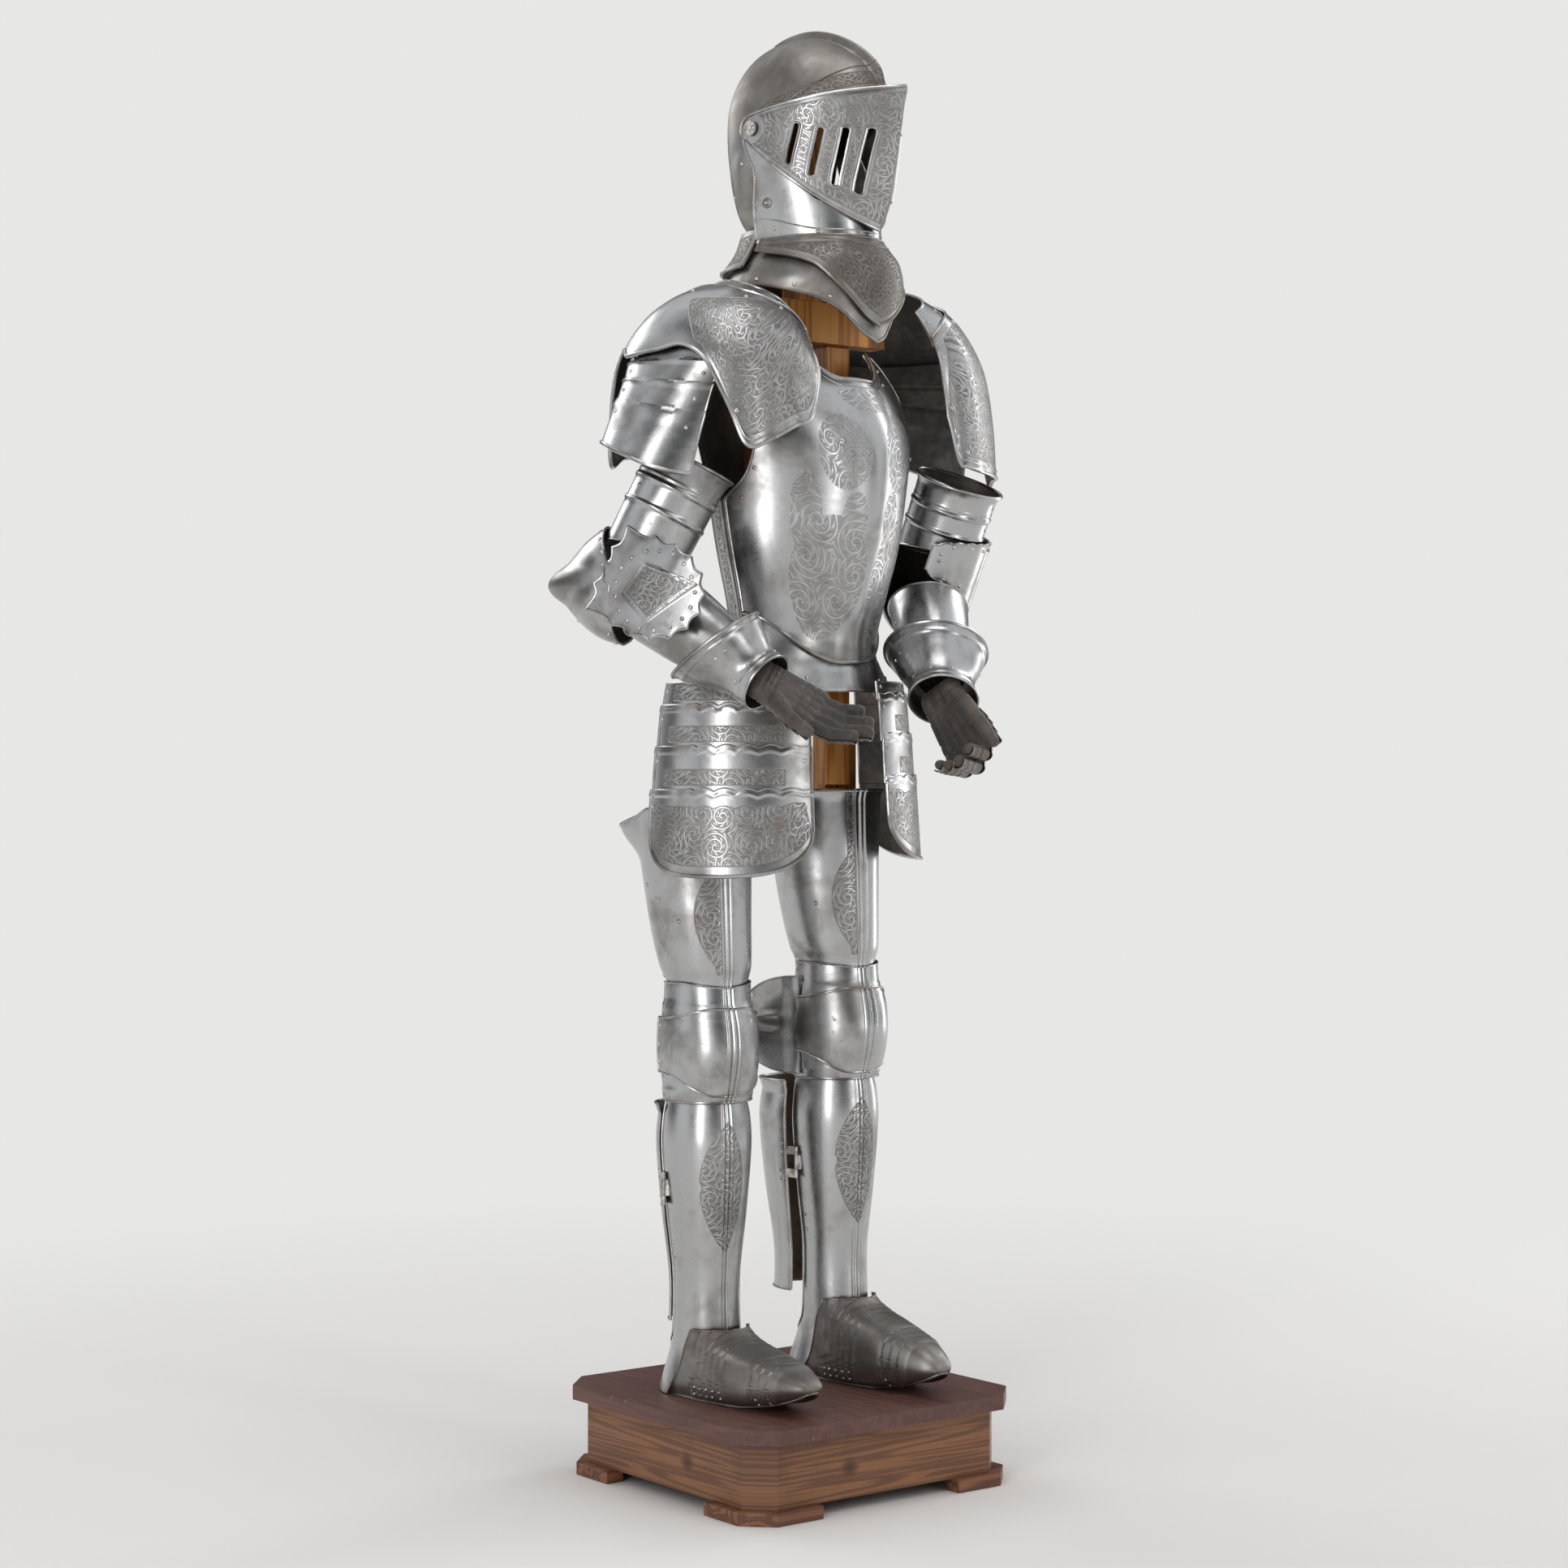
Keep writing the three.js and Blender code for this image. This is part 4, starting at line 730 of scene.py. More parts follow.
def leg(n, side, turn, lift):
    base = place(side * LEG["x"], LEG["y"], 0, turn, ROOT)
    raised = place(z=lift, parent=base)
    sole = place(turn=-turn, parent=base)

    # greave front
    p = Piece("greave_front_look_" + n, raised)
    cols = (
        steps(-1, -HEEL["side"], 6)[:-1] + [c / HEEL["from"] * HEEL["side"] for c in dense(-101, 101)]
        + steps(HEEL["side"], 1, 6)[1:]
    )
    U, V = grid(cols, steps(0, 1, 56))
    a = np.abs(U)
    behind = a / HEEL["side"] * HEEL["from"] - HEEL["gap"]
    foot = lerp(
        SEAM["high"], SEAM["low"], np.clip((behind - SEAM["front"]) / (SEAM["rear"] - SEAM["front"]), 0, 1)
    )
    z = lerp(
        np.clip(foot, HEEL["low"], 213), 536, V ** lerp(1, 1.15, np.clip((behind - SEAM["front"]) / 30, 0, 1))
    )
    heel_turn = 106 + 54 * (1 - smooth(z, 170, 208))
    deg = np.where(
        a <= HEEL["side"], U * HEEL["from"] / HEEL["side"],
        np.sign(U) * lerp(HEEL["from"], heel_turn, np.clip((a - HEEL["side"]) / (1 - HEEL["side"]), 0, 1)),
    )
    P = ring(SHIN, deg, z, flutes(deg))
    P[..., 2] = z - lift * (1 - smooth(z, 190, 240))
    field = lens(deg, z, 411, 88, 38, 26, 62)
    s = p.sheet(P, cols, steps(0, 1, 56), "steel", field=field)
    p.edges(s, "high left right", 1.9, 0.25)
    p.rivets(s, [(-0.72, 0.5), (-0.72, 0.55), (0.74, 0.5), (0.74, 0.55)], 2.6, 1.5)
    knuckle(p, (HINGE["x"], HINGE["y"]), (HINGE["x"] + 6, HINGE["y"] - 4), HINGE["z"] + 0.5, HINGE["z"] + 20)
    p.build("greave_front_" + n)

    # greave back, on its hinge
    p = Piece("greave_back_look_" + n, place(HINGE["x"], HINGE["y"], 0, REST_OPEN[n], raised))
    us, vs = steps(CALF["from"], CALF["to"], 64), steps(0, 1, 44)
    A, V = grid(us, vs)
    z = lerp(CALF["low"], CALF["high"], V)
    P = ring(SHIN, A, z)
    out = 1 + CALF["flare"] * smooth(z, CALF["high"] - 14, CALF["high"]) / 60
    P = np.stack([P[..., 0] * out - HINGE["x"], P[..., 1] * out - HINGE["y"], z], -1)
    s = p.sheet(P, us, vs, "plain")
    p.edges(s, "low high left right", 1.9, 0.25)
    p.rivets(s, [(246, 0.53), (246, 0.57), (241, 0.53), (241, 0.57), (246, 0.66), (246, 0.7)], 2.6, 1.5)
    knuckle(p, (0, 0), (10.6, 17.2), HINGE["z"] - 12, HINGE["z"])
    knuckle(p, (0, 0), (8.4, 18.3), HINGE["z"] + 20.5, HINGE["z"] + 32)
    p.build("greave_back_" + n, body="calf_" + n)

    # sabaton with its lames over the instep and the toe
    p = Piece("sabaton_look_" + n, sole)
    cols, vs = steps(-1, 1, 150), steps(0, 1, 100)
    C, V = grid(cols, vs)
    sill = SEAM["low"] + 0.5 + TOE["up"] * bump(C * SEAM["rear"], TOE["half"])
    z = lerp(sill, SEAM["high"], V)
    A = C * seam_turn(z, np.where(C < 0, -1.0, 1.0), turn)
    P = ring(FOOT, A, z)
    if n == "l":
        P[..., 2] = z + lift * smooth(z, 160, 205)
    forward = -P[..., 1]
    normals = unit(np.cross(np.gradient(P, axis=1), np.gradient(P, axis=0)))
    high = np.zeros_like(forward)
    for near, far in SOLE_LAMES[1]:
        inside = smooth(forward, near - 0.4, near + 0.9) * (1 - smooth(forward, far - 0.9, far + 0.4))
        high += inside * (LAME["high"] - LAME["fall"] * (forward - near) / (far - near))
    high += LAME["toe"] * smooth(forward, 104, 106) * (1 - smooth(forward, 150, 158))
    P = P + normals * (high * smooth(z - sill, 1, 8))[..., None]
    s = p.sheet(P, cols, vs, "bare", rust=0.12)
    p.edges(s, "low", 2.2, 0.2, "bare")
    p.edges(s, "high left right", 1.6, 0.2, "bare")
    for near, far in SOLE_LAMES[1][:6]:
        for sign in (-1, 1):
            for rise in LAME["rivets"]:
                gap = np.abs(forward - (near + far) / 2) + np.abs(z - sill - rise)
                j, i = nearest(np.where(C * sign > 0.2, gap, np.inf))
                p.rivet(s.points[j, i], s.normals[j, i], 2.2, 1.4)
    p.build("sabaton_" + n, slot="dark_steel")

    # poleyn: two lames over the knee, the fluted cup and its wing, one lame under it
    cols = dense(-104, 104)
    for level, lame in POLEYN.items():
        p = Piece("poleyn_%s_look_%s" % (level, n), raised)
        A, V = grid(cols, lame["rows"])
        z = lerp(lame["low"], lame["high"] - lame["dip"] * bump(A, 70), V)
        step = np.where(V < lame["split"], *lame["behind"])
        s = p.sheet(ring(KNEE, A, z, flutes(A) + step), cols, lame["rows"], "plain", rust=0.1)
        p.edges(s, lame["edge"], 1.5, 0.2)
        p.rivets(s, [(sign * 96, v) for sign in (-1, 1) for v in lame["rivets"]], 2.6, 1.5)
        p.build("poleyn_%s_%s" % (level, n))
    p = Piece("knee_cup_look_" + n, raised)
    A, V = grid(cols, steps(0, 1, 34))
    spread = smooth(np.abs(A), 18, 88)
    z = lerp(lerp(536, 566, spread), lerp(654, 640, spread), V)
    P = ring(KNEE, A, z, flutes(A) + 1.3 * bump(z - 646, 3) * (1 - spread))
    s = p.sheet(P, cols, steps(0, 1, 34), "plain", rust=0.22)
    p.edges(s, "low high left right", 1.9, 0.25)
    p.rivets(s, [(-95, 0.2), (-95, 0.85), (95, 0.2), (95, 0.85), (-95, 0.5)], 2.8, 1.6)
    us = steps(-1, 1, 34)
    U, V = grid(us, us)
    y = lerp(WING["near"], WING["far"], (U + 1) / 2)
    reach = np.sqrt(np.maximum(0.03, 1 - (0.5 + U / 2) ** 2.4))
    dy = y - WING["near"]
    pleat = WING["pleat"] * (bump(V - 0.02, 0.16) - 0.7 * bump(np.abs(V) - 0.2, 0.08))
    x = WING[n] + WING["flare"] * dy * smooth(dy, 0, WING["easing"]) - pleat * smooth(dy, 8, 40)
    P = np.stack([x, y, WING["drop"] + WING["high"] / 2 * V * reach], -1)
    if side > 0:
        P = P[:, ::-1] * np.array([-1.0, 1, 1])
    s = p.sheet(P, us, us, "plain", 2, back="plain", rust=0.1)
    p.edges(s, "low high " + ("right" if side < 0 else "left"), 1.7, 0)
    p.build("knee_cup_" + n)

    # cuisse
    p = Piece("cuisse_look_" + n, raised)
    cols = dense(-150, 116)
    A, V = grid(cols, steps(0, 1, 60))
    top = 930 - 34 * smooth(-A, 50, 150) - 26 * smooth(A, 60, 116)
    z = lerp(668, top, V)
    relief = flutes(A) + 4 * smooth(z, 915, 935) + 22 * smooth(z, 850, 900) * smooth(-A, 92, 128)
    P = ring(THIGH, A, z, relief)
    share = np.clip(1 - ((z - 775) / 72) ** 2, 0, 1) ** 0.8
    field = np.minimum((-7.5 - A) * 1.25, (A + 7.5 + 27 * share) * 1.25)
    small = 4.6 - np.abs(A + 11.5) * 1.25
    field = np.maximum(field, np.minimum(small, z - 700))
    s = p.sheet(P, cols, steps(0, 1, 60), "steel", field=field)
    p.edges(s, "high left right", 2.4, 0.2)
    p.edges(s, "low", 1.6, 0.2)
    p.rivets(
        s, [(-52, 0.4), (86, 0.42), (-96, 0.62), (-52, 0.9), (86, 0.86), (104, 0.2), (-104, 0.12)], 3.2, 2
    )
    p.build("cuisse_" + n)


def knuckle(piece, axis, edge, low, high):
    """One barrel and leaf of a strap hinge."""
    z = np.array(steps(low, high, 6))
    path = np.stack([np.full(7, float(axis[0])), np.full(7, float(axis[1])), z], -1)
    piece.bead(path, np.tile([0.0, -1.0, 0.0], (7, 1)), HINGE["knuckle"], 0, "rivet", around=12)
    a, b = np.array([*axis, 0.0]), np.array([*edge, 0.0])
    along = unit(b - a)
    across = np.array([-along[1], along[0], 0]) * 0.8
    corners = (a + across, a - across, b - across, b + across)
    co = [c + np.array([0, 0, h]) for h in (low, high) for c in corners]
    faces = [[0, 1, 2, 3], [7, 6, 5, 4], [0, 4, 5, 1], [1, 5, 6, 2], [2, 6, 7, 3], [3, 7, 4, 0]]
    piece.add(co, faces, "rivet")


leg("r", -1, LEG["turn_r"], 0)
leg("l", 1, LEG["turn_l"], LEG["lift"])

# ---------------------------------------------------------------- body
TORSO = place(turn=TORSO_TURN, parent=ROOT)
TRUNK = table(RING, [
    (1080, 0, -22, 176, 176, 98, 108, 2),
    (1124, 0, -28, 133, 133, 84, 88, 2),
    (1160, 0, -28, 122, 122, 84, 86, 1.95),
    (1200, 0, -28, 126, 126, 98, 90, 1.9),
    (1280, 0, -28, 146, 146, 120, 100, 1.9),
    (1374, 0, -24, 161, 161, 138, 108, 1.9),
    (1430, 0, -22, 170, 170, 137, 112, 1.95),
    (1490, 0, -18, 168, 168, 116, 110, 2),
    (1535, 0, -12, 154, 154, 87, 96, 2),
    (1565, 0, -8, 132, 132, 62, 74, 2),
])
ARMHOLE = table("z deg", [(1340, 91), (1366, 76), (1395, 69), (1450, 62), (1500, 56), (1560, 52)])
BACKHOLE = table("z deg", [(1340, 86), (1364, 68), (1395, 62), (1450, 58), (1500, 54), (1560, 50)])
CHEST_SCROLLS = table("deg z wide high", [
    (-20, 1404, 15, 52),
    (-27, 1236, 25, 84),
    (21, 1410, 15, 56),
    (30, 1236, 26, 84),
    (0, 1478, 16, 17),
    (-14, 1318, 8, 34),
    (15, 1322, 8, 34),
    (-42, 1320, 9, 60),
    (45, 1320, 9, 60),
])


def rim_band(near, far=np.inf):
    """An etched band that follows the plate's edge, from near to far millimetres inside it."""
    return lambda rim, run, rise: np.minimum(rim - near, far - rim)


def level_band(low, high):
    """An etched band over the plate, low above its lower edge and high below its upper one."""
    return lambda rim, run, rise: np.minimum(rise - low, rise[-1:] - rise - high)


def keel(deg):
    return 5 * bump(deg, 16)


def chest_scrolls(deg, z):
    """Free foliage on the breast: a few soft-edged clumps on each side of the keel."""
    best = np.full(deg.shape, NOT_ETCHED)
    for d, h, wide, high in CHEST_SCROLLS[1]:
        r = np.hypot((deg - d) / wide, (z - h) / high)
        best = np.maximum(best, (1 - r) * wide * 2.4)
    return best


p = Piece("breastplate_look", TORSO)
cols = steps(-1, -0.16, 46)[:-1] + steps(-0.16, 0.16, 24) + steps(0.16, 1, 46)[1:]
U, V = grid(cols, steps(0, 1, 84))
a = np.abs(U)
z = lerp(1124 + 66 * smooth(a, 0.08, 1), 1507 + 50 * smooth(a, 0.18, 0.78), V)
deg = U * np.where(z < 1340, 91, at(ARMHOLE, "z", z)["deg"])
s = p.sheet(
    ring(TRUNK, deg, z, keel(deg)), cols, steps(0, 1, 84), "free", field=chest_scrolls(deg, z), rust=0.05
)
p.edges(s, "high", 3.2, 0.25)
p.edges(s, "left right low", 2.6, 0.2)
p.line(s, steps(-0.95, 0.95, 60), [0.972] * 61, 1.2)
chest_rivets = [
    (-0.62, 0.955), (-0.44, 0.95), (-0.26, 0.94), (0.26, 0.94), (0.44, 0.95), (0.62, 0.955), (-0.9, 0.9),
    (0.9, 0.9), (-0.93, 0.7), (0.93, 0.7), (-0.95, 0.52), (0.95, 0.52), (0.7, 0.62), (0.86, 0.42),
    (-0.86, 0.42),
]
p.rivets(s, chest_rivets, 3.0, 1.8)
p.rivets(s, [(-0.33, 0.74)], 5.2, 3.2)
p.build("breastplate")

p = Piece("backplate_look", TORSO)
U, V = grid(steps(-1, 1, 88), steps(0, 1, 70))
z = lerp(1160 - 20 * (1 - np.abs(U)), 1540 + 18 * smooth(np.abs(U), 0.2, 0.7), V)
deg = 180 + U * np.where(z < 1340, 86, at(BACKHOLE, "z", z)["deg"])
spine = -3.0 * bump(deg - 180, 7) * smooth(z, 1180, 1230) * (1 - smooth(z, 1470, 1520))
s = p.sheet(ring(TRUNK, deg, z, spine), steps(-1, 1, 88), steps(0, 1, 70), "steel", field=rim_band(9, 27))
p.edges(s, "high low left right", 2.6, 0.2)
p.rivets(s, [(x, y) for x in (-0.92, 0.92) for y in (0.1, 0.3, 0.5, 0.7, 0.9)], 3.0, 1.8)
p.build("backplate")

p = Piece("fauld_look", TORSO)
cols = steps(-94, 94, 94)
A, V = grid(cols, [0, 0.08, 0.2, 0.34, 0.46, 0.5, 0.6, 0.7, 0.8, 0.9, 1])
z = lerp(1086, 1150 + 46 * smooth(np.abs(A), 8, 90), V)
s = p.sheet(
    ring(TRUNK, A, z, keel(A) - LAP - 1.2 - 0.9 * smooth(V, 0.46, 0.5)), cols,
    [0, 0.08, 0.2, 0.34, 0.46, 0.5, 0.6, 0.7, 0.8, 0.9, 1], "plain", rust=0.05,
)
p.edges(s, "low left right", 2.4, 0.2)
p.rivets(s, [(a, 0.22) for a in (-88, -60, -30, 30, 60, 88)], 3.0, 1.8)
p.build("fauld")

HIP = table(RING, [
    (830, 0, 12, 213, 213, 158, 158, 2),
    (950, 0, 12, 208, 206, 150, 150, 2),
    (1010, 0, 11, 204, 200, 146, 146, 2),
    (1070, 0, 10, 198, 194, 140, 140, 2),
    (1135, 0, 8, 184, 180, 130, 130, 2),
])
TASSET = {"r": (-109, -27, 0, 1098), "l": (10, 104, 18, 1084)}
LAMES = table("low high", [(1056, 1098), (1000, 1068), (942, 1012), (836, 954)])
for n in "rl":
    start, end, drop, top = TASSET[n]
    outward = 1 if n == "r" else -1
    for k, (low, high) in enumerate(LAMES[1]):
        last = k == 3
        p = Piece("tasset_look_%s%d" % (n, k + 1), place(z=drop, parent=TORSO))
        rows = steps(0, 1, 60 if last else 26)  # the last lame hangs lowest and is the largest
        cols = steps(-1, 1, 96)
        U, V = grid(cols, rows)
        lo = low + (62 * (1 - np.sqrt(np.maximum(0, 1 - np.abs(U) ** 3.2))) if last else 0)
        inside = smooth(U * outward, -0.38, -0.28) * (1 - smooth(U * outward, 0.86, 0.96))
        waves = 4.6 * (np.abs(np.sin(U * 13.5)) - 0.5) * inside if k else 0
        hi = np.minimum(high, top) - 3.2 + waves
        z = lerp(lo, hi, V)
        P = ring(HIP, lerp(start, end, (U + 1) / 2), z, (k + 1) * LAP + 1.1 * bump(hi - z - 7, 3.2) * (k > 0))

        def field(rim, run, rise, last=last, U=U, V=V):
            if last:
                return np.minimum(rim - 13, (0.8 - V) * 118)
            return np.minimum(np.minimum(rise - 15, 15 + 21 - rise), (0.74 - np.abs(U)) * 120)

        stain = 0.0
        if last and n == "r":
            stain = 0.5 * bump(np.hypot((U - 0.62) * 1.6, V - 0.62), 0.62)
        s = p.sheet(P, cols, rows, "steel", field=field, rust=stain)
        p.edges(s, "left right low" if last else "left right", 2.8 if last else 2.2, 0.25)
        p.edges(s, "high", 1.3, 0.1)
        p.rivets(s, [(-0.93 * outward, 0.72), (0.93 * outward, 0.72)], 3.0, 1.8)
        p.build("tasset_%s%d" % (n, k + 1))

# ---------------------------------------------------------------- helmet
HELM = place(0, PIVOT["y"], PIVOT["z"], 0, place(turn=HEAD_TURN, parent=ROOT))
SKULL = table(ARCH, [
    (20, 152, 1.8, 1),
    (36, 147, 1.85, 1),
    (60, 140, 2, 1),
    (90, 138, 2, 1),
    (115, 134, 2, 1),
    (140, 122, 2, 1),
    (165, 110, 2, 0.99),
    (185, 107, 2, 0.98),
    (205, 114, 2, 0.96),
    (222, 128, 2.1, 0.94),
    (238, 148, 2.2, 0.9),
    (262, 160, 2.3, 0.83),
])
SKULL_NECK = -128
# Round bosses on the pivot axis, as radius, near end, far end and material: bolt, washer, rosette plate.
BOSSES = ((PIVOT["bolt"], 96, 112.2, "rivet"), (15, 95.2, 98.4, "bare"), (10, 110.6, 113.4, "rivet"))
ROSETTE = {"x": 113.2, "petals": 6, "ring": 5.6}


def comb(up, x):
    return 12 * bump(x, 8) * smooth(up, 14, 34) * (1 - smooth(up, 109, 114))


def along_x(piece, side, r, near, far, kind):
    """A short round boss on the pivot axis."""
    path = np.array([[side * x, 0.0, 0.0] for x in (near, far)])
    piece.bead(path, np.tile([0.0, 0.0, 1.0], (2, 1)), r, 0, kind, around=20)


p = Piece("helmet_skull_look", HELM)
ks = (
    steps(2.5, 80, 40)[:-1] + steps(80, 86, 6)[:-1] + steps(86, 94, 20) + steps(94, 100, 6)[1:]
    + steps(100, 177.5, 40)[1:]
)
ups = steps(20, 109, 56) + steps(110.2, 114, 5) + steps(117, 262, 66)
K, UP = grid(ks, ups)
P = arch(SKULL, UP, K, 99, comb)
P[..., 2] = np.maximum(P[..., 2], SKULL_NECK)
under = P[..., 2] <= SKULL_NECK + 0.01
keep = ~(under[:-1, :-1] & under[1:, 1:] & under[1:, :-1])


def brow_band(rim, run, rise):
    """A band over the brow that follows the opening."""
    brow = np.minimum(rise - 8, 30 - rise)
    return np.where(UP < 120, brow, NOT_ETCHED)


s = p.sheet(P, ks, ups, "dark", field=brow_band, keep=keep, rust=0.05)
p.edges(s, "low", 2.6, 0.25, "bare")
p.line(s, steps(4, 176, 90), [36] * 91, 1.2, -0.1, "bare")
for side in (-1, 1):
    for boss in BOSSES:
        along_x(p, side, *boss)
    outward = np.array([side * 1.0, 0, 0])
    for turn in np.radians(np.arange(ROSETTE["petals"]) * 360 / ROSETTE["petals"]):
        petal = (side * ROSETTE["x"], ROSETTE["ring"] * math.cos(turn), ROSETTE["ring"] * math.sin(turn))
        p.rivet(np.array(petal), outward, 3.0, 1.5)
    p.rivet(np.array([side * ROSETTE["x"], 0, 0]), outward, 4.0, 2.6)
p.rivets(s, [(k, 228) for k in (22, 50, 90, 130, 158)], 3.0, 1.8)
p.build("helmet_skull", slot="dark_steel")

VISOR = table("up radius power", [
    (-46, 191, 2.9),
    (-34, 180, 2.7),
    (-22, 171, 2.5),
    (-6, 168, 2.4),
    (8, 176, 2.4),
    (16, 186, 2.4),
])
VISOR_HALF = 108.5
SLOT = {"wide": 6.6, "rim": 1.9}
SLOTS = table("topY topZ lowY lowZ", [
    (-68, -3, -57, -51),
    (-96, -10, -84, -67),
    (-122, -10, -107, -80),
    (-146, -10, -127, -90),
])


def visor_x(y, z):
    up = np.clip(np.degrees(np.arctan2(z, -y)), -46, 16)
    r = at(VISOR, "up", up)
    return VISOR_HALF * (1 - (np.hypot(y, z) / r["radius"]) ** r["power"])


def capsule(y, z, q):
    """Distance from a slot's middle line, and the foot of it."""
    ax, az, bx, bz = q
    t = np.clip(((y - ax) * (bx - ax) + (z - az) * (bz - az)) / ((bx - ax) ** 2 + (bz - az) ** 2), 0, 1)
    fy, fz = ax + (bx - ax) * t, az + (bz - az) * t
    return np.hypot(y - fy, z - fz), fy, fz


p = Piece("visor_look", HELM)
ts, vs = steps(0, 2, 260), steps(0, 1, 84)
T, V = grid(ts, vs)
t = np.where(T > 1, 2 - T, T)
up = lerp(-46, 16, V)
R = at(VISOR, "up", up)["radius"]
b = np.radians(lerp(-128, -256, V))
reach = PIVOT["lobe"] * 1.12
y = lerp(-reach * np.cos(b), -R * np.cos(np.radians(up)), t)
z = lerp(reach * np.sin(b), R * np.sin(np.radians(up)), t)
hole = np.zeros(y.shape, bool)
slot_gap = np.full(y.shape, 99.0)
half = SLOT["wide"] / 2
for q in SLOTS[1]:
    d, fy, fz = capsule(y, z, q)
    near = (d < half) & (t < 0.97)
    hole |= near
    slot_gap = np.minimum(slot_gap, d - half)
    push = np.where(near, half / np.maximum(d, 0.05), 1)
    y, z = fy + (y - fy) * push, fz + (z - fz) * push
bolt = np.hypot(y, z)
near = bolt < PIVOT["bore"]
hole |= near
push = np.where(near, PIVOT["bore"] / np.maximum(bolt, 0.05), 1)
y, z = y * push, z * push
x = np.where(np.abs(T - 1) < 1e-6, 0, visor_x(y, z))
P = np.stack([np.where(T > 1, x, -x), y, z], -1)
keep = ~(hole[:-1, :-1] & hole[1:, :-1] & hole[:-1, 1:] & hole[1:, 1:])


def cheeks(rim, run, rise):
    """The whole visor inside its edges, but for a margin round each slot and round the pivot."""
    inside = np.minimum(rise, rise[-1:] - rise) - 8
    return np.minimum(np.minimum(inside, slot_gap - 4.5), np.hypot(y, z) - 21)


s = p.sheet(P, ts, vs, "steel", keep=keep, field=cheeks, rust=0.06)
p.edges(s, "low high", 2.4, 0.25)
p.edges(s, "left right", 2.0, 0.25)
for side in (-1, 1):
    for q in SLOTS[1]:
        a, bq = np.array(q[:2]), np.array(q[2:])
        along = unit(bq - a)
        cross = np.array([-along[1], along[0]])
        r = half + SLOT["rim"] * 0.7
        half_turn = np.radians(np.arange(-90, 90, 18))
        loop = [a + r * (math.cos(w) * -along + math.sin(w) * cross) for w in half_turn]
        loop += [bq + r * (math.cos(w) * along - math.sin(w) * cross) for w in half_turn]
        more = []
        for i, c in enumerate(loop):
            d = loop[(i + 1) % len(loop)]
            pieces = max(1, int(np.linalg.norm(d - c) / 4))
            more += [lerp(c, d, k / pieces) for k in range(pieces)]
        more = np.array(more)
        xs = visor_x(more[:, 0], more[:, 1])
        path = np.stack([side * xs, more[:, 0], more[:, 1]], -1)
        e = 0.5
        gy = (visor_x(more[:, 0] + e, more[:, 1]) - visor_x(more[:, 0] - e, more[:, 1])) / (2 * e)
        gz = (visor_x(more[:, 0], more[:, 1] + e) - visor_x(more[:, 0], more[:, 1] - e)) / (2 * e)
        normal = unit(np.stack([side * np.ones(len(xs)), -gy, -gz], -1))
        p.bead(path, normal, SLOT["rim"], 0.15, "plain", wrap=True, around=8)
p.build("visor", body="visor_body")

BEVOR = table(RING, [
    (-146, 0, 0, 87, 87, 121, 90, 2),
    (-132, 0, 0, 90, 90, 119, 90, 2),
    (-100, 0, 0, 95, 95, 117, 95, 2),
    (-60, 0, 0, 100, 100, 108, 100, 2),
    (-20, 0, 0, 104.4, 104.4, 104, 120, 2.1),
    (20, 0, 0, 104.4, 104.4, 104, 130, 2.1),
])
BEVOR_EDGE = {"low": -146, "throat": -102}
p = Piece("bevor_look", HELM)
us, vs = steps(-1, 1, 130), steps(0, 1, 44)
U, V = grid(us, vs)
a = np.abs(U)
hi = lerp(BEVOR_EDGE["throat"], PIVOT["lobe"], smooth(a, 0.45, 0.97))
z = lerp(BEVOR_EDGE["low"], hi, V)
lobe = PIVOT["lobe"] * np.sqrt(np.maximum(0, 1 - np.clip(z / PIVOT["lobe"], 0, 1) ** 2))
rear = lerp(3 + 7 * smooth(-z, 60, 120), lobe, smooth(z, -60, -10))
deg = U * (90 + np.degrees(np.arcsin(np.clip(rear / at(BEVOR, "z", z)["back"], 0, 0.9))))
P = ring(BEVOR, deg, z)
s = p.sheet(P, us, vs, "plain", rust=0.1)
p.edges(s, "high left right", 1.8, 0.1)
p.edges(s, "low", 1.8, 0.1)
p.line(s, steps(-0.97, 0.97, 90), [0.16] * 91, 1.2, -0.2)
p.rivets(s, [(x, 0.08) for x in (-0.82, -0.5, 0.5, 0.82)], 2.8, 1.6)
for side in (-1, 1):  # the hook catch: a bolt on a round washer
    spot, normal = s.spot(side * 0.87, 0.3)
    p.rivet(spot, normal, 7.5, 2.0, "bare")
    p.rivet(spot, normal, 3.4, 5.0)
p.build("bevor", body="bevor_body")

NECK = table(RING, [
    (-268, 0, 0, 118, 118, 134, 118, 2),
    (-226, 0, 0, 126, 126, 145, 112, 2),
    (-206, 0, 0, 126, 126, 148, 108, 2),
    (-178, 0, 0, 112, 112, 146, 104, 2),
    (-160, 0, 0, 98, 98, 134, 94, 2),
    (-147.5, 0, 0, 90, 90, 124, 88, 2),
])
NECK_TOP = -147.5
HEM = table("a z", [(0, -267), (14, -254), (30, -226), (52, -187), (92, -162)])
p = Piece("neck_front_look", HELM)
us, vs = steps(-90, 90, 110), steps(0, 1, 44)
A, V = grid(us, vs)
s = p.sheet(
    ring(NECK, A, lerp(at(HEM, "a", np.abs(A))["z"], NECK_TOP, V)), us, vs, "dark", field=level_band(11, 12),
    rust=0.2,
)
p.edges(s, "low", 2.6, 0.25, "bare")
p.edges(s, "high left right", 1.8, 0.1, "bare")
p.line(s, steps(-86, 86, 80), [0.9] * 81, 1.1, -0.2, "bare")
p.build("neck_front", body="bevor_body", slot="dark_steel")

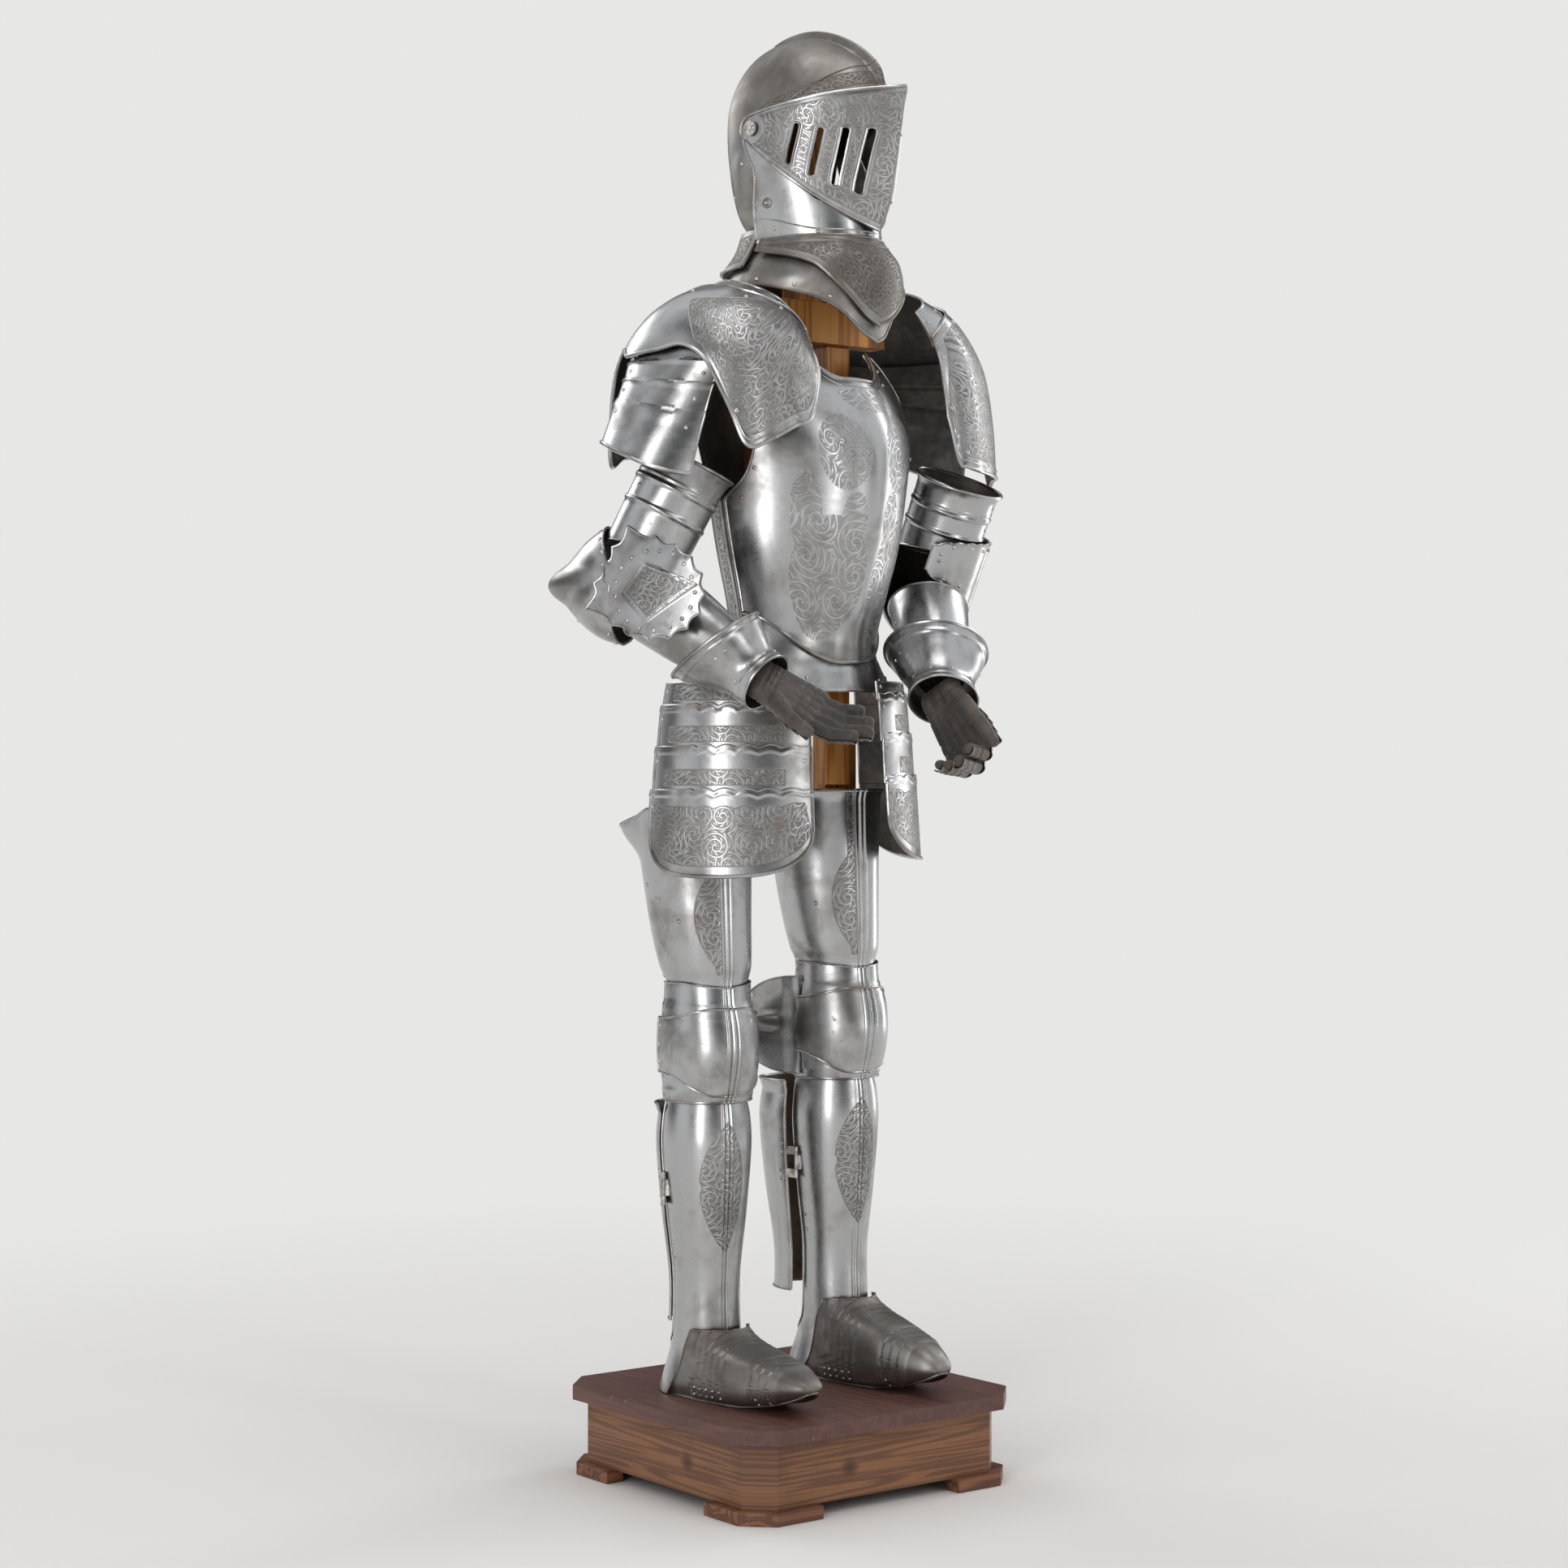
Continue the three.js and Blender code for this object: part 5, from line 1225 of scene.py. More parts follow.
NAPE = table(RING, [
    (-190, 0, 6, 112, 112, 90, 112, 2),
    (-160, 0, 4, 92, 92, 90, 92, 2),
    (-129, 0, 0, 78, 78, 80, 88, 2),
])
p = Piece("neck_rear_look", HELM)
us, vs = steps(97, 263, 90), steps(0, 1, 26)
A, V = grid(us, vs)
s = p.sheet(ring(NAPE, A, lerp(-184, -129.5, V)), us, vs, "dark", field=rim_band(9), rust=0.15)
p.edges(s, "low left right", 2.2, 0.2, "bare")
p.build("neck_rear", slot="dark_steel")

GORGET = table("a low high", [
    (0, -289, -196),
    (12, -278, -196),
    (30, -250, -194),
    (52, -230, -174),
    (92, -212, -166),
    (180, -212, -172),
])
p = Piece("gorget_look", HELM)
us, vs = steps(-180, 180, 160)[:-1], steps(0, 1, 24)
A, V = grid(us, vs)
brim = at(GORGET, "a", np.abs(A))
height = lerp(brim["low"], brim["high"], V)
inset = -9 + 5 * smooth(-height, 240, 290) - 5 * smooth(np.abs(A), 80, 100)
s = p.sheet(ring(NECK, A, height, inset), us, vs, "dark", wrap=True, rust=0.1)
p.edges(s, "low", 2.2, 0.1, "bare")
p.rivets(s, [(a, 0.16) for a in (-84, -60, -38, 38, 60, 84)], 2.8, 1.7)
p.build("gorget", slot="dark_steel")

# ---------------------------------------------------------------- shoulders
SHOULDER = table(RING, [
    (1375, 0, 0, 136, 88, 156, 132, 3),
    (1430, 0, 0, 135, 90, 153, 128, 3),
    (1490, 0, 0, 133, 92, 146, 124, 2.9),
    (1535, 0, 0, 126, 90, 136, 118, 2.6),
    (1583, 4, 0, 104, 90, 112, 96, 2.2),
    (1611, 12, 0, 78, 74, 84, 66, 2),
    (1632, 24, 0, 38, 44, 50, 36, 2),
    (1642, 30, 0, 20, 26, 28, 20, 2),
])
CAPE = table("a lowR lowL high top", [
    (42, 1545, 1444, 1556, 1596),
    (34, 1530, 1382, 1566, 1602),
    (26, 1508, 1376, 1576, 1608),
    (15, 1478, 1373, 1588, 1615),
    (0, 1433, 1371, 1598, 1622),
    (-22, 1402, 1370, 1610, 1630),
    (-35, 1399, 1370, 1615, 1633),
    (-46, 1448, 1372, 1620, 1636),
    (-60, 1510, 1500, 1624, 1639),
    (-75, 1534, 1528, 1626, 1640),
    (-90, 1530, 1527, 1627, 1641),
    (-110, 1527, 1527, 1626, 1640),
    (-128, 1529, 1529, 1622, 1638),
    (-142, 1398, 1398, 1616, 1634),
    (-165, 1402, 1402, 1604, 1626),
    (-190, 1420, 1420, 1590, 1616),
    (-222, 1474, 1474, 1566, 1600),
])
SLEEVE = table(RING, [
    (1362, 0, 0, 150, 84, 100, 108, 2.1),
    (1412, 0, 0, 131, 80, 108, 98, 2.1),
    (1455, 0, 0, 112, 76, 114, 90, 2.1),
    (1490, 0, 0, 97, 72, 122, 84, 2.1),
    (1530, 0, 0, 75, 70, 134, 84, 2.3),
    (1548, 0, 0, 66.5, 65, 126, 78, 2.3),
])
SLEEVE_AT = {"x": -50, "y": 8}
BANDS = (0, 0.17, 0.34, 0.55, 1)
EDGE_LINE = 8.5  # from the main plate's lower edge to the line along it
SHOULDERS = {"r": (-1, -150, -10, 0, 0, -222), "l": (1, 186, -10, 26, 20, -196)}
for n, (side, x0, y0, z0, turn, rear) in SHOULDERS.items():
    spot = place(x0, y0, z0, turn, TORSO)
    us = (
        steps(rear, -142, 40)[:-1] + steps(-142, -128, 10)[:-1] + steps(-128, -60, 24)[:-1]
        + steps(-60, -46, 10)[:-1] + steps(-46, 42, 56)
    )
    vs = steps(0, 1, 60)
    A, V = grid(us, vs)
    cape = at(CAPE, "a", A)
    z = lerp(cape["low" + n.upper()], cape["high"], V)
    P = ring(SHOULDER, A, z)
    p = Piece("pauldron_look_" + n, spot)

    def wings(rim, run, rise, A=A, z=z):
        front = np.minimum(np.minimum((A + 70 - (1560 - z) * 0.16) * 1.7, rim - 16), 1600 - z)
        back = np.minimum(np.minimum((-150 - A) * 1.9, rim - 17), 1572 - z)
        return np.maximum(front, back)

    s = p.sheet(P, us, vs, "steel", field=wings, side=side, rust=0.04)
    p.edges(s, "low left right", 2.8, 0.25)
    p.edges(s, "high", 2.0, 0.2)
    line_a = np.array(steps(-44, 38, 70))
    inset = at(CAPE, "a", line_a)
    share = EDGE_LINE / (inset["high"] - inset["low" + n.upper()])
    p.line(s, [-side * a for a in line_a], share, 1.2, -0.2)
    p.rivets(
        s,
        [
            (-side * a, v)
            for a, v in (
                (38, 0.3), (38, 0.78), (24, 0.1), (-2, 0.06), (-26, 0.05), (-41, 0.1), (30, 0.94), (0, 0.95),
                (-30, 0.955), (-90, 0.9), (-140, 0.955),
            )
        ],
        3.2, 1.9,
    )
    p.build("pauldron_" + n)

    p = Piece("pauldron_collar_look_" + n, spot)
    vs = steps(0, 1, 14)
    A, V = grid(us, vs)
    cape = at(CAPE, "a", A)
    P = ring(SHOULDER, A, lerp(cape["high"] - 9, cape["top"], V), -LAP)
    P[..., 2] -= LAP + 0.9
    s = p.sheet(P, us, vs, "plain", side=side)
    p.edges(s, "high left right", 2.2, 0.2)
    p.rivets(s, [(-side * a, 0.6) for a in (36, 10, -20, -50, -90, -130, -160)], 2.8, 1.6)
    p.build("pauldron_collar_" + n)

    p = Piece("pauldron_lames_look_" + n, spot)
    rows, level = [], []
    for i, (b0, b1) in enumerate(zip(BANDS[:-1], BANDS[1:])):
        seg = steps(b0 + (0.004 if i else 0), b1, 9)
        rows += seg
        level += [3 - i] * len(seg)
    us = steps(-186, -34, 76)
    A, V = grid(us, rows)
    L = np.array(level)[:, None] + 0 * A
    local = np.concatenate([np.linspace(0, 1, 10)] * 4)[:, None] + 0 * A
    low = lerp(1412, 1362, smooth(A, -130, -34))
    wave = 2.2 * (np.abs(np.sin(np.radians(A) * 6)) - 0.5) * (local < 0.01) * (L < 3)
    P = ring(SLEEVE, A, lerp(1544, low, V) + wave, -L * 1.4 + 1.5 * bump(local - 0.12, 0.1) * (L < 3))
    P[..., 0] += SLEEVE_AT["x"]
    P[..., 1] += SLEEVE_AT["y"]
    P, rows = P[::-1], [1 - r for r in rows[::-1]]
    s = p.sheet(P, us, rows, "plain", side=side, rust=0.06)
    p.edges(s, "low", 2.8, 0.25)
    p.edges(s, "left right", 1.8, 0.2)
    p.rivets(s, [(-side * a, 1 - b) for a in (-44, -110, -176) for b in (0.12, 0.28, 0.47, 0.68)], 2.8, 1.7)
    p.build("pauldron_lames_" + n)

# ---------------------------------------------------------------- arms
ARMS = {
    "r": {
        "side": -1, "elbow": (-267, 4, 1225), "rim": (-205, -49, 1386), "wrist": (-178, -175, 1093),
        "tips": (-88, -258, 1016), "back": (0.35, 0.45, -0.8), "curl": (10, 26), "thumb": (-38, 20),
        "slant": (40, 85),
    },
    "l": {
        "side": 1, "elbow": (246, 0, 1243), "rim": (258, -62, 1386), "wrist": (126, -180, 1076),
        "tips": (146, -222, 1000), "back": (1, 0.35, 0.1), "curl": (42, 66), "thumb": (-20, 24),
        "slant": (0, 0),
    },
}
UPPER = table(RING, [
    (20, 0, 0, 56, 56, 55, 55, 2),
    (40, 0, 0, 56, 56, 55, 55, 2),
    (80, 0, 0, 57, 57, 56, 56, 2),
    (130, 0, 0, 58, 58, 57, 57, 2),
    (168, 0, 0, 59, 59, 58, 58, 2),
    (181, 0, 0, 63, 63, 62, 62, 2),
])
CROOK = {"bend": 72, "back": 36}
ELBOW = table(ARCH, [
    (138, 82, 1.9, 1),
    (160, 83, 1.8, 1),
    (186, 92, 1.5, 1),
    (205, 117, 1.3, 1),
    (224, 92, 1.5, 1),
    (250, 82, 1.8, 1),
    (290, 80, 1.9, 1),
])
FAN = {
    "y": -72, "z": 6, "long": 74, "high": 64, "x": 65, "lift": 17, "dome": 9, "corner": 0.5,
    "rear_corner": 0.14, "rear": 88, "teeth": 8, "tooth": 0.085,
}
# Corners of the raised shield on the wing, towards the forearm and up.
KITE = ((-41, -22), (-31, 27), (54, 31), (14, -40))
WRAP = {"radius": 67, "root": 61.8, "from": -50, "to": 112, "low": 20, "high": 88, "skirt": 44}
FORE = table(RING, [
    (40, 0, 0, 57, 57, 56, 56, 2),
    (120, 0, 0, 51, 51, 50, 50, 2),
    (240, 0, 0, 32, 32, 30, 30, 2),
])
CUFF = table(RING, [
    (0, 0, 0, 72, 72, 68, 66, 2),
    (0.3, 0, 0, 60, 60, 55, 56, 2),
    (0.7, 0, 0, 46, 46, 41, 41, 2),
    (1, 0, 0, 49, 49, 41, 41, 2),
])
FINGERS = table("x base long thick", [
    (-28, 84, 62, 10),
    (-9.5, 90, 70, 10.5),
    (9.5, 86, 66, 10),
    (27, 78, 54, 9),
])
KNUCKLES = (0.5, 0.5)
CANNON_END = 0.84  # share of the forearm that the lower cannon covers
MOUTH = {"near": 84, "far": 128, "wrist": 4}  # the cuff's edges, from the wrist
CREASES = ((2, 4, 1.3), (9, 3, 0.8), (16, 4, 1.0), (52, 4, 1.1), (66, 3.5, 0.9))  # height, half width, depth


def crook(deg, near, far):
    return lerp(far, near, (1 + np.cos(np.radians(deg))) / 2)


def capsule_mesh(a, ra, b, rb, around=20, rings=7):
    """A tapered capsule between two points."""
    a, b = np.array(a, float), np.array(b, float)
    z = unit(b - a)
    x = unit(np.cross(z, [0.3, 0.8, 0.52]))
    out = circle(around, x, np.cross(z, x))
    levels = (
        [(a, ra, w) for w in np.linspace(-88, 0, rings)] + [(b, rb, w) for w in np.linspace(0, 88, rings)]
    )
    co = np.concatenate(
        [c + r * math.cos(math.radians(w)) * out + r * math.sin(math.radians(w)) * z for c, r, w in levels]
    )
    return co, hoops(len(levels), around) + caps(len(levels), around)


def finger_line(f, curl):
    """The joints of one finger as (point, bend) pairs."""
    x, base, long, _ = f
    spot, bend = np.array([x, 0.0, base - 12]), 0.0
    joints = [(spot, 0.0)]
    for i, share in enumerate(KNUCKLES):
        bend += curl[i]
        run = long * share + (0 if i else 12)
        spot = spot + run * np.array([0, math.sin(math.radians(bend)), math.cos(math.radians(bend))])
        joints.append((spot, bend))
    return joints


def thumb_line(arm):
    """The root, the middle joint and the tip of the thumb."""
    out, up = (math.radians(v) for v in arm["thumb"])
    root = np.array([-26.0, 4, 26])
    mid = np.array([-26 + 44 * math.sin(out), 8 + 20 * math.sin(up), 26 + 44 * math.cos(out)])
    tip = np.array(
        [mid[0] + 30 * math.sin(out * 0.6), mid[1] + 22 * math.sin(up), mid[2] + 30 * math.cos(out * 0.6)]
    )
    return root, mid, tip


def glove(n, arm, palm):
    """The leather glove: its fingers, thumb and hand grown into one skin, then softened."""
    bones = []
    for f in FINGERS[1]:
        joints = finger_line(f, arm["curl"])
        for i in range(2):
            bones.append((joints[i][0], f[3] - 0.9 - 0.4 * i, joints[i + 1][0], f[3] - 1.3 - 0.4 * i))
    root, mid, tip = thumb_line(arm)
    bones += [(root, 13.4, mid, 10.4), (mid, 10.4, tip, 9)]
    bones += [((x, 0, -4), 15.5, (x * 1.55, 0, 74), 13.6) for x in (-18, -9, 0, 9, 18)]
    co, faces, count = [], [], 0
    for b in bones:
        c, fs = capsule_mesh(*b)
        co.append(c)
        faces += [[i + count for i in f] for f in fs]
        count += len(c)
    flip = np.array([1.0 if arm["side"] < 0 else -1.0, 1, 1])
    co = np.concatenate(co) * flip
    if arm["side"] > 0:
        faces = [f[::-1] for f in faces]
    co = co @ palm[:3, :3].T + palm[:3, 3]
    mesh = bpy.data.meshes.new("glove_skin_" + n)
    mesh.from_pydata((co * MM).tolist(), [], faces)
    obj = link("glove_look_" + n, mesh)
    remesh = obj.modifiers.new("skin", "REMESH")
    remesh.mode, remesh.voxel_size, remesh.use_smooth_shade = "VOXEL", 0.0019, True
    soft = obj.modifiers.new("soft", "SMOOTH")
    soft.factor, soft.iterations = 0.5, 8
    graph = bpy.context.evaluated_depsgraph_get()
    done = bpy.data.meshes.new_from_object(obj.evaluated_get(graph))
    obj.modifiers.clear()
    obj.data = done
    # Creases across the palm, the joints and the wrist.
    points = np.empty(len(done.vertices) * 3)
    done.vertices.foreach_get("co", points)
    local = (points.reshape(-1, 3) / MM - palm[:3, 3]) @ palm[:3, :3]
    normals = np.empty(len(done.vertices) * 3)
    done.vertices.foreach_get("normal", normals)
    level = local[:, 2] + 0.12 * local[:, 0]
    folds = sum(deep * bump(level - high, half) for high, half, deep in CREASES)
    folds = folds + 0.7 * np.sin(local[:, 0] * 0.42) * bump(local[:, 2] - 4, 14)
    points = points.reshape(-1, 3) - normals.reshape(-1, 3) * folds[:, None] * MM
    done.vertices.foreach_set("co", points.ravel())
    done.materials.clear()
    done.materials.append(MATS["glove"])
    done.polygons.foreach_set("use_smooth", [True] * len(done.polygons))
    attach(obj, "frame")
    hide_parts("glove_" + n)
    return obj


def finger_scales(n, arm, palm):
    """Overlapping steel scales over the back of the fingers, the thumb and the hand."""
    p = Piece("gauntlet_scales_look_" + n, palm)
    side = arm["side"]
    us = steps(-72, 72, 14)

    def scale(a, b, ra, rb, bend, wide):
        """One scale over a finger from point a to point b."""
        W, V = grid(us, steps(0, 1, 4))
        W = W * wide / 72
        r = lerp(ra, rb, V)
        mid = a[None, None] * (1 - V[..., None]) + b[None, None] * V[..., None]
        out = np.array([0, -math.cos(math.radians(bend)), math.sin(math.radians(bend))])
        P = mid + r[..., None] * (
            np.sin(np.radians(W))[..., None] * np.array([1.0, 0, 0]) + np.cos(np.radians(W))[..., None] * out
        )
        s = p.sheet(P, us, steps(0, 1, 4), "bare", 0.9, side=side, rust=0.2)
        p.edges(s, "high", 0.9, 0.1, "bare")

    for f in FINGERS[1]:
        joints = finger_line(f, arm["curl"])
        for i in range(2):
            a, b = joints[i][0], joints[i + 1][0]
            count = 4 if i == 0 else 3
            for k in range(count):
                p0, p1 = lerp(a, b, k / count), lerp(a, b, (k + 1.25) / count)
                scale(p0, p1, f[3] + 0.2, f[3] + 1.5, joints[i + 1][1], 70)
    for k in range(4):
        z0, z1 = 8 + 17 * k, 8 + 17 * (k + 1) + 4
        U, V = grid(steps(-1, 1, 24), steps(0, 1, 5))
        wide = lerp(30, 40, (lerp(z0, z1, V) - 8) / 70)
        x = U * wide
        y = -(lerp(17.2, 19.4, V) * (1 - np.abs(U) ** 3.2 * 0.75)) - 0.3
        s = p.sheet(
            np.stack([x, y, lerp(z0, z1, V)], -1), steps(-1, 1, 24), steps(0, 1, 5), "bare", 1.0, side=side,
            rust=0.15,
        )
        p.edges(s, "high", 1.1, 0.1, "bare")
        p.rivets(s, [(-0.82, 0.3), (0.82, 0.3)], 1.8, 1.1)
    root, mid, tip = thumb_line(arm)
    chain = [lerp(root, mid, 0.35), lerp(root, mid, 0.7), mid, lerp(mid, tip, 0.5), tip]
    for k in range(4):
        scale(chain[k], chain[k + 1] + (chain[k + 1] - chain[k]) * 0.2, 13.2 - k, 14.2 - k, 12, 62)
    p.build()


for n, arm in ARMS.items():
    side = arm["side"]
    elbow, rim_at, wrist, tips, back = (
        np.array(arm[k], float)
        for k in ("elbow", "rim", "wrist", "tips", "back")
    )
    fore, upper = wrist - elbow, rim_at - elbow
    scale = np.linalg.norm(upper) / 181
    joint = limb(elbow, rim_at, fore)

    p = Piece("upper_cannon_look_" + n, joint)
    us = steps(-180, 180, 96)[:-1]
    vs = steps(0, 1, 12) + [1 + k / 54 for k in range(1, 55)]
    A, V = grid(us, vs)
    near = crook(A, CROOK["bend"] - 8, CROOK["back"])
    z = np.where(V <= 1, lerp(near, 99, np.clip(V, 0, 1)), lerp(99, 181, np.clip(V - 1, 0, 1)))
    relief = 2 * bump(z - 138, 5) + 2 * bump(z - 104, 5) + 0.6 * bump(z - 147, 2.4)
    P = ring(UPPER, A, z, relief)
    P[..., 2] = z * np.where(V <= 1, lerp(1, scale, np.clip(V, 0, 1)), scale)
    s = p.sheet(P, us, vs, "plain", wrap=True, rust=0.04)
    p.edges(s, "high", 2.6, 0.2)
    p.edges(s, "low", 1.6, 0.1)
    p.rivets(s, [(a, v) for a in (-120, 60) for v in (1.3, 1.75)], 2.8, 1.7)
    p.build("upper_cannon_" + n)

    p = Piece("couter_look_" + n, joint)
    ks, ups = steps(10, 170, 70), steps(138, 290, 72)
    K, UP = grid(ks, ups)
    notches = 0.8 * np.abs(np.sin(np.radians(K - 10) * 9))
    at_ends = smooth(UP, 286, 290) + 1 - smooth(UP, 138, 142)
    P = arch(ELBOW, UP, K, 64 + 1.2, lambda up, x: 1.4 + notches * at_ends)
    s = p.sheet(P, ks, ups, "plain", 2.2, side=side, rust=0.05)
    p.edges(s, "low high", 1.8, 0.1)
    marks = [(k, u) for u in (143, 285) for k in (26, 46, 66, 90, 114, 134, 154)] + [(90, 172), (90, 240)]
    p.rivets(s, [(-side * k, u) for k, u in marks], 2.8, 1.8)
    us, vs = steps(-1, 1, 80), steps(-1, 1, 64)
    U, V = grid(us, vs)
    if n == "r":
        corner = lerp(FAN["corner"], FAN["rear_corner"], smooth(-U, -0.2, 0.2))
        tall, round_ = np.sqrt(1 - corner * V * V), np.sqrt(1 - corner * U * U)
        dy, dz = -U * tall, V * round_
        r, w = np.hypot(dy, dz), np.arctan2(dz, dy)
        near_edge = smooth(np.maximum(np.abs(U), np.abs(V)), 0.72, 1)
        scallop = 1 + FAN["tooth"] * (0.3 - np.abs(np.sin(w * FAN["teeth"]))) * near_edge
        y = FAN["y"] + np.where(dy > 0, FAN["rear"], FAN["long"]) * dy * scallop
        z = FAN["z"] + FAN["high"] * dz * scallop
        off = FAN["x"] + WALL + FAN["lift"] * smooth(-y, 10, 90) - FAN["dome"] * r * r * 0.5
        # the raised shield in the middle
        shield = np.full_like(y, 99.0)
        for (y0, z0), (y1, z1) in zip(KITE, KITE[1:] + KITE[:1]):
            run = math.hypot(y1 - y0, z1 - z0)
            inside = ((z1 - z0) * (FAN["y"] - y - y0) - (y1 - y0) * (z - FAN["z"] - z0)) / run
            shield = np.minimum(shield, inside)
        off = off + 2.4 * smooth(shield, -1.2, 1.2) - 0.8 * bump(shield - 3.4, 1.0)
        P = np.stack([-off, y, z], -1)
        s = p.sheet(P, us, vs, "steel", side=side, field=shield - 5.5, rust=0.04)
        p.edges(s, "low high left right", 1.8, 0.2)
        for k in range(17):
            w = math.radians(360 / 17 * k + 8)
            target = (
                FAN["y"] + FAN["long"] * 0.83 * math.cos(w), FAN["z"] + FAN["high"] * 0.83 * math.sin(w)
            )
            far = np.hypot(P[..., 1] - target[0], P[..., 2] - target[1])
            j, i = nearest(far)
            p.rivet(s.points[j, i], s.normals[j, i], 3.2, 2.2)
    else:
        deg = lerp(WRAP["from"], WRAP["to"], (U + 1) / 2)
        a = np.radians(deg)
        half_high = (WRAP["high"] - WRAP["low"]) / 2
        reach = np.sqrt(np.maximum(0, 1 - 0.72 * np.maximum(0, U) ** 3))
        skirt = WRAP["skirt"] * bump(deg - 18, 46)
        out = WALL + lerp(WRAP["root"], WRAP["radius"], smooth(deg, -30, 10))
        out = out + 2.4 * bump(deg - 14, 4) - 1.2 * bump(np.abs(deg - 14) - 7, 3)
        scallop = 2.2 * (np.abs(np.cos(np.radians(deg) * 11)) - 0.5) * smooth(V, 0.7, 1) * smooth(deg, 14, 24)
        lower = 2.6 * (np.abs(np.cos(np.radians(deg) * 9)) - 0.5) * smooth(-V, 0.7, 1) * smooth(deg, -10, 4)
        z = (WRAP["low"] + WRAP["high"]) / 2 + half_high * V * reach - skirt * (1 - V) / 2 + scallop - lower
        P = np.stack([-out * np.cos(a), -out * np.sin(a), z], -1)
        s = p.sheet(P, us, vs, "plain", side=side, rust=0.05)
        p.edges(s, "low high left right", 1.8, 0.2)
        marks = [(x, v) for v in (0.82, -0.84) for x in (-0.8, -0.5, -0.2, 0.1, 0.4, 0.7)]
        p.rivets(s, [(-u, v) for u, v in marks + [(0.85, 0), (0.85, 0.4)]], 2.8, 1.8)
    p.build("couter_" + n)

    lower = limb(elbow, wrist, upper)
    reach = np.linalg.norm(fore)
    p = Piece("lower_cannon_look_" + n, lower)
    us, vs = steps(-180, 180, 96)[:-1], steps(0, 1, 44)
    A, V = grid(us, vs)
    z = lerp(crook(A, CROOK["bend"], CROOK["back"] + 4), CANNON_END * reach, V)
    s = p.sheet(ring(FORE, A, z), us, vs, "plain", wrap=True, rust=0.03)
    p.edges(s, "low", 1.8, 0.2)
    p.edges(s, "high", 1.6, 0.1)
    p.rivets(s, [(a, v) for a in (100, -100) for v in (0.3, 0.7)], 2.6, 1.6)
    p.build("lower_cannon_" + n)

    p = Piece("gauntlet_cuff_look_" + n, lower)
    vs = steps(0, 1, 40)
    A, V = grid(us, vs)
    P = ring(CUFF, A, V, 1.2 * bump(V - 0.13, 0.035) + 1.0 * bump(V - 0.86, 0.04))
    slant, slant_to = arm["slant"]
    mouth = crook(A, reach - MOUTH["near"], reach - MOUTH["far"])
    mouth = mouth + slant / 2 * (1 + np.cos(np.radians(A - slant_to)))
    P[..., 2] = lerp(mouth, reach + MOUTH["wrist"], V)
    s = p.sheet(P, us, vs, "plain", wrap=True, rust=0.08)
    p.edges(s, "low", 2.4, 0.2)
    p.edges(s, "high", 2.0, 0.2)
    p.rivets(
        s, [(a, 0.76) for a in range(-160, 170, 40)] + [(a, 0.3) for a in (-100, -84, 84, 100)], 2.6, 1.7
    )
    p.build("gauntlet_cuff_" + n)

    palm = limb(wrist, tips, back)
    glove(n, arm, palm)
    finger_scales(n, arm, palm)

# ---------------------------------------------------------------- wooden stand
WOODS = {
    "pine": wood("inner_pine", (0.68, 0.31, 0.085), (0.42, 0.15, 0.03), gloss=0.4),
    "box": wood(
        "stained_pine", (0.27, 0.118, 0.048), (0.15, 0.06, 0.027), axis="round", gloss=0.38, scuffs=0.1
    ),
    "foot": wood(
        "foot_pine", (0.25, 0.1, 0.045), (0.12, 0.045, 0.022), axis="X", gloss=0.4, scuffs=0.3, knots=False
    ),
    "board": wood(
        "painted_board", (0.14, 0.06, 0.049), (0.108, 0.046, 0.038), axis="Y", gloss=0.4, knots=False,
        scuffs=0.6,
    ),
}
WORN_EDGE = {"board": 0.0022, "box": 0.0012, "foot": 0.0012, "pine": 0.0012}  # metres


def wood_of(name):
    if name.startswith("plinth_"):
        return name.split("_")[1]
    return "pine" if "post" in name or name == "shoulder_board" else None


for name, obj in NODES.items():
    key = wood_of(name)
    if key:
        for s in obj.material_slots:
            s.link = "OBJECT"
            s.material = WOODS[key]
        edge = obj.modifiers.new("worn_edge", "BEVEL")
        edge.width, edge.segments, edge.limit_method = WORN_EDGE[key], 3, "ANGLE"
        edge.harden_normals = False

# ---------------------------------------------------------------- floor, light and camera
FLOOR = {"half": 30.0, "z": -0.0005}
BACKDROP = (0.80, 0.80, 0.79)
FADE = (0.5, 3.2)  # metres from the middle, over which the floor turns into the backdrop
floor_mesh = bpy.data.meshes.new("floor")
signs = ((-1, -1), (1, -1), (1, 1), (-1, 1))
corners = [(x * FLOOR["half"], y * FLOOR["half"], FLOOR["z"]) for x, y in signs]
floor_mesh.from_pydata(corners, [], [[0, 1, 2, 3]])
BLACK = (0.0, 0.0, 0.0)
net = Net("studio_floor")
far = net.node("ShaderNodeVectorMath", operation="LENGTH")
net.put(far.inputs[0], net.place)
fade = net.ramp(far.outputs["Value"], *FADE)
near_floor = net.mix(net.noise(1.2, 3), (0.78, 0.765, 0.745), (0.82, 0.805, 0.785))
paint = net.done(
    Base_Color=net.mix(fade, near_floor, BLACK),
    Roughness=0.85,
    Specular_IOR_Level=net.math("MULTIPLY_ADD", fade, -0.4, 0.4),
    Emission_Color=BACKDROP,
    Emission_Strength=fade,
)
floor_mesh.materials.append(paint)
floor = link("floor", floor_mesh)

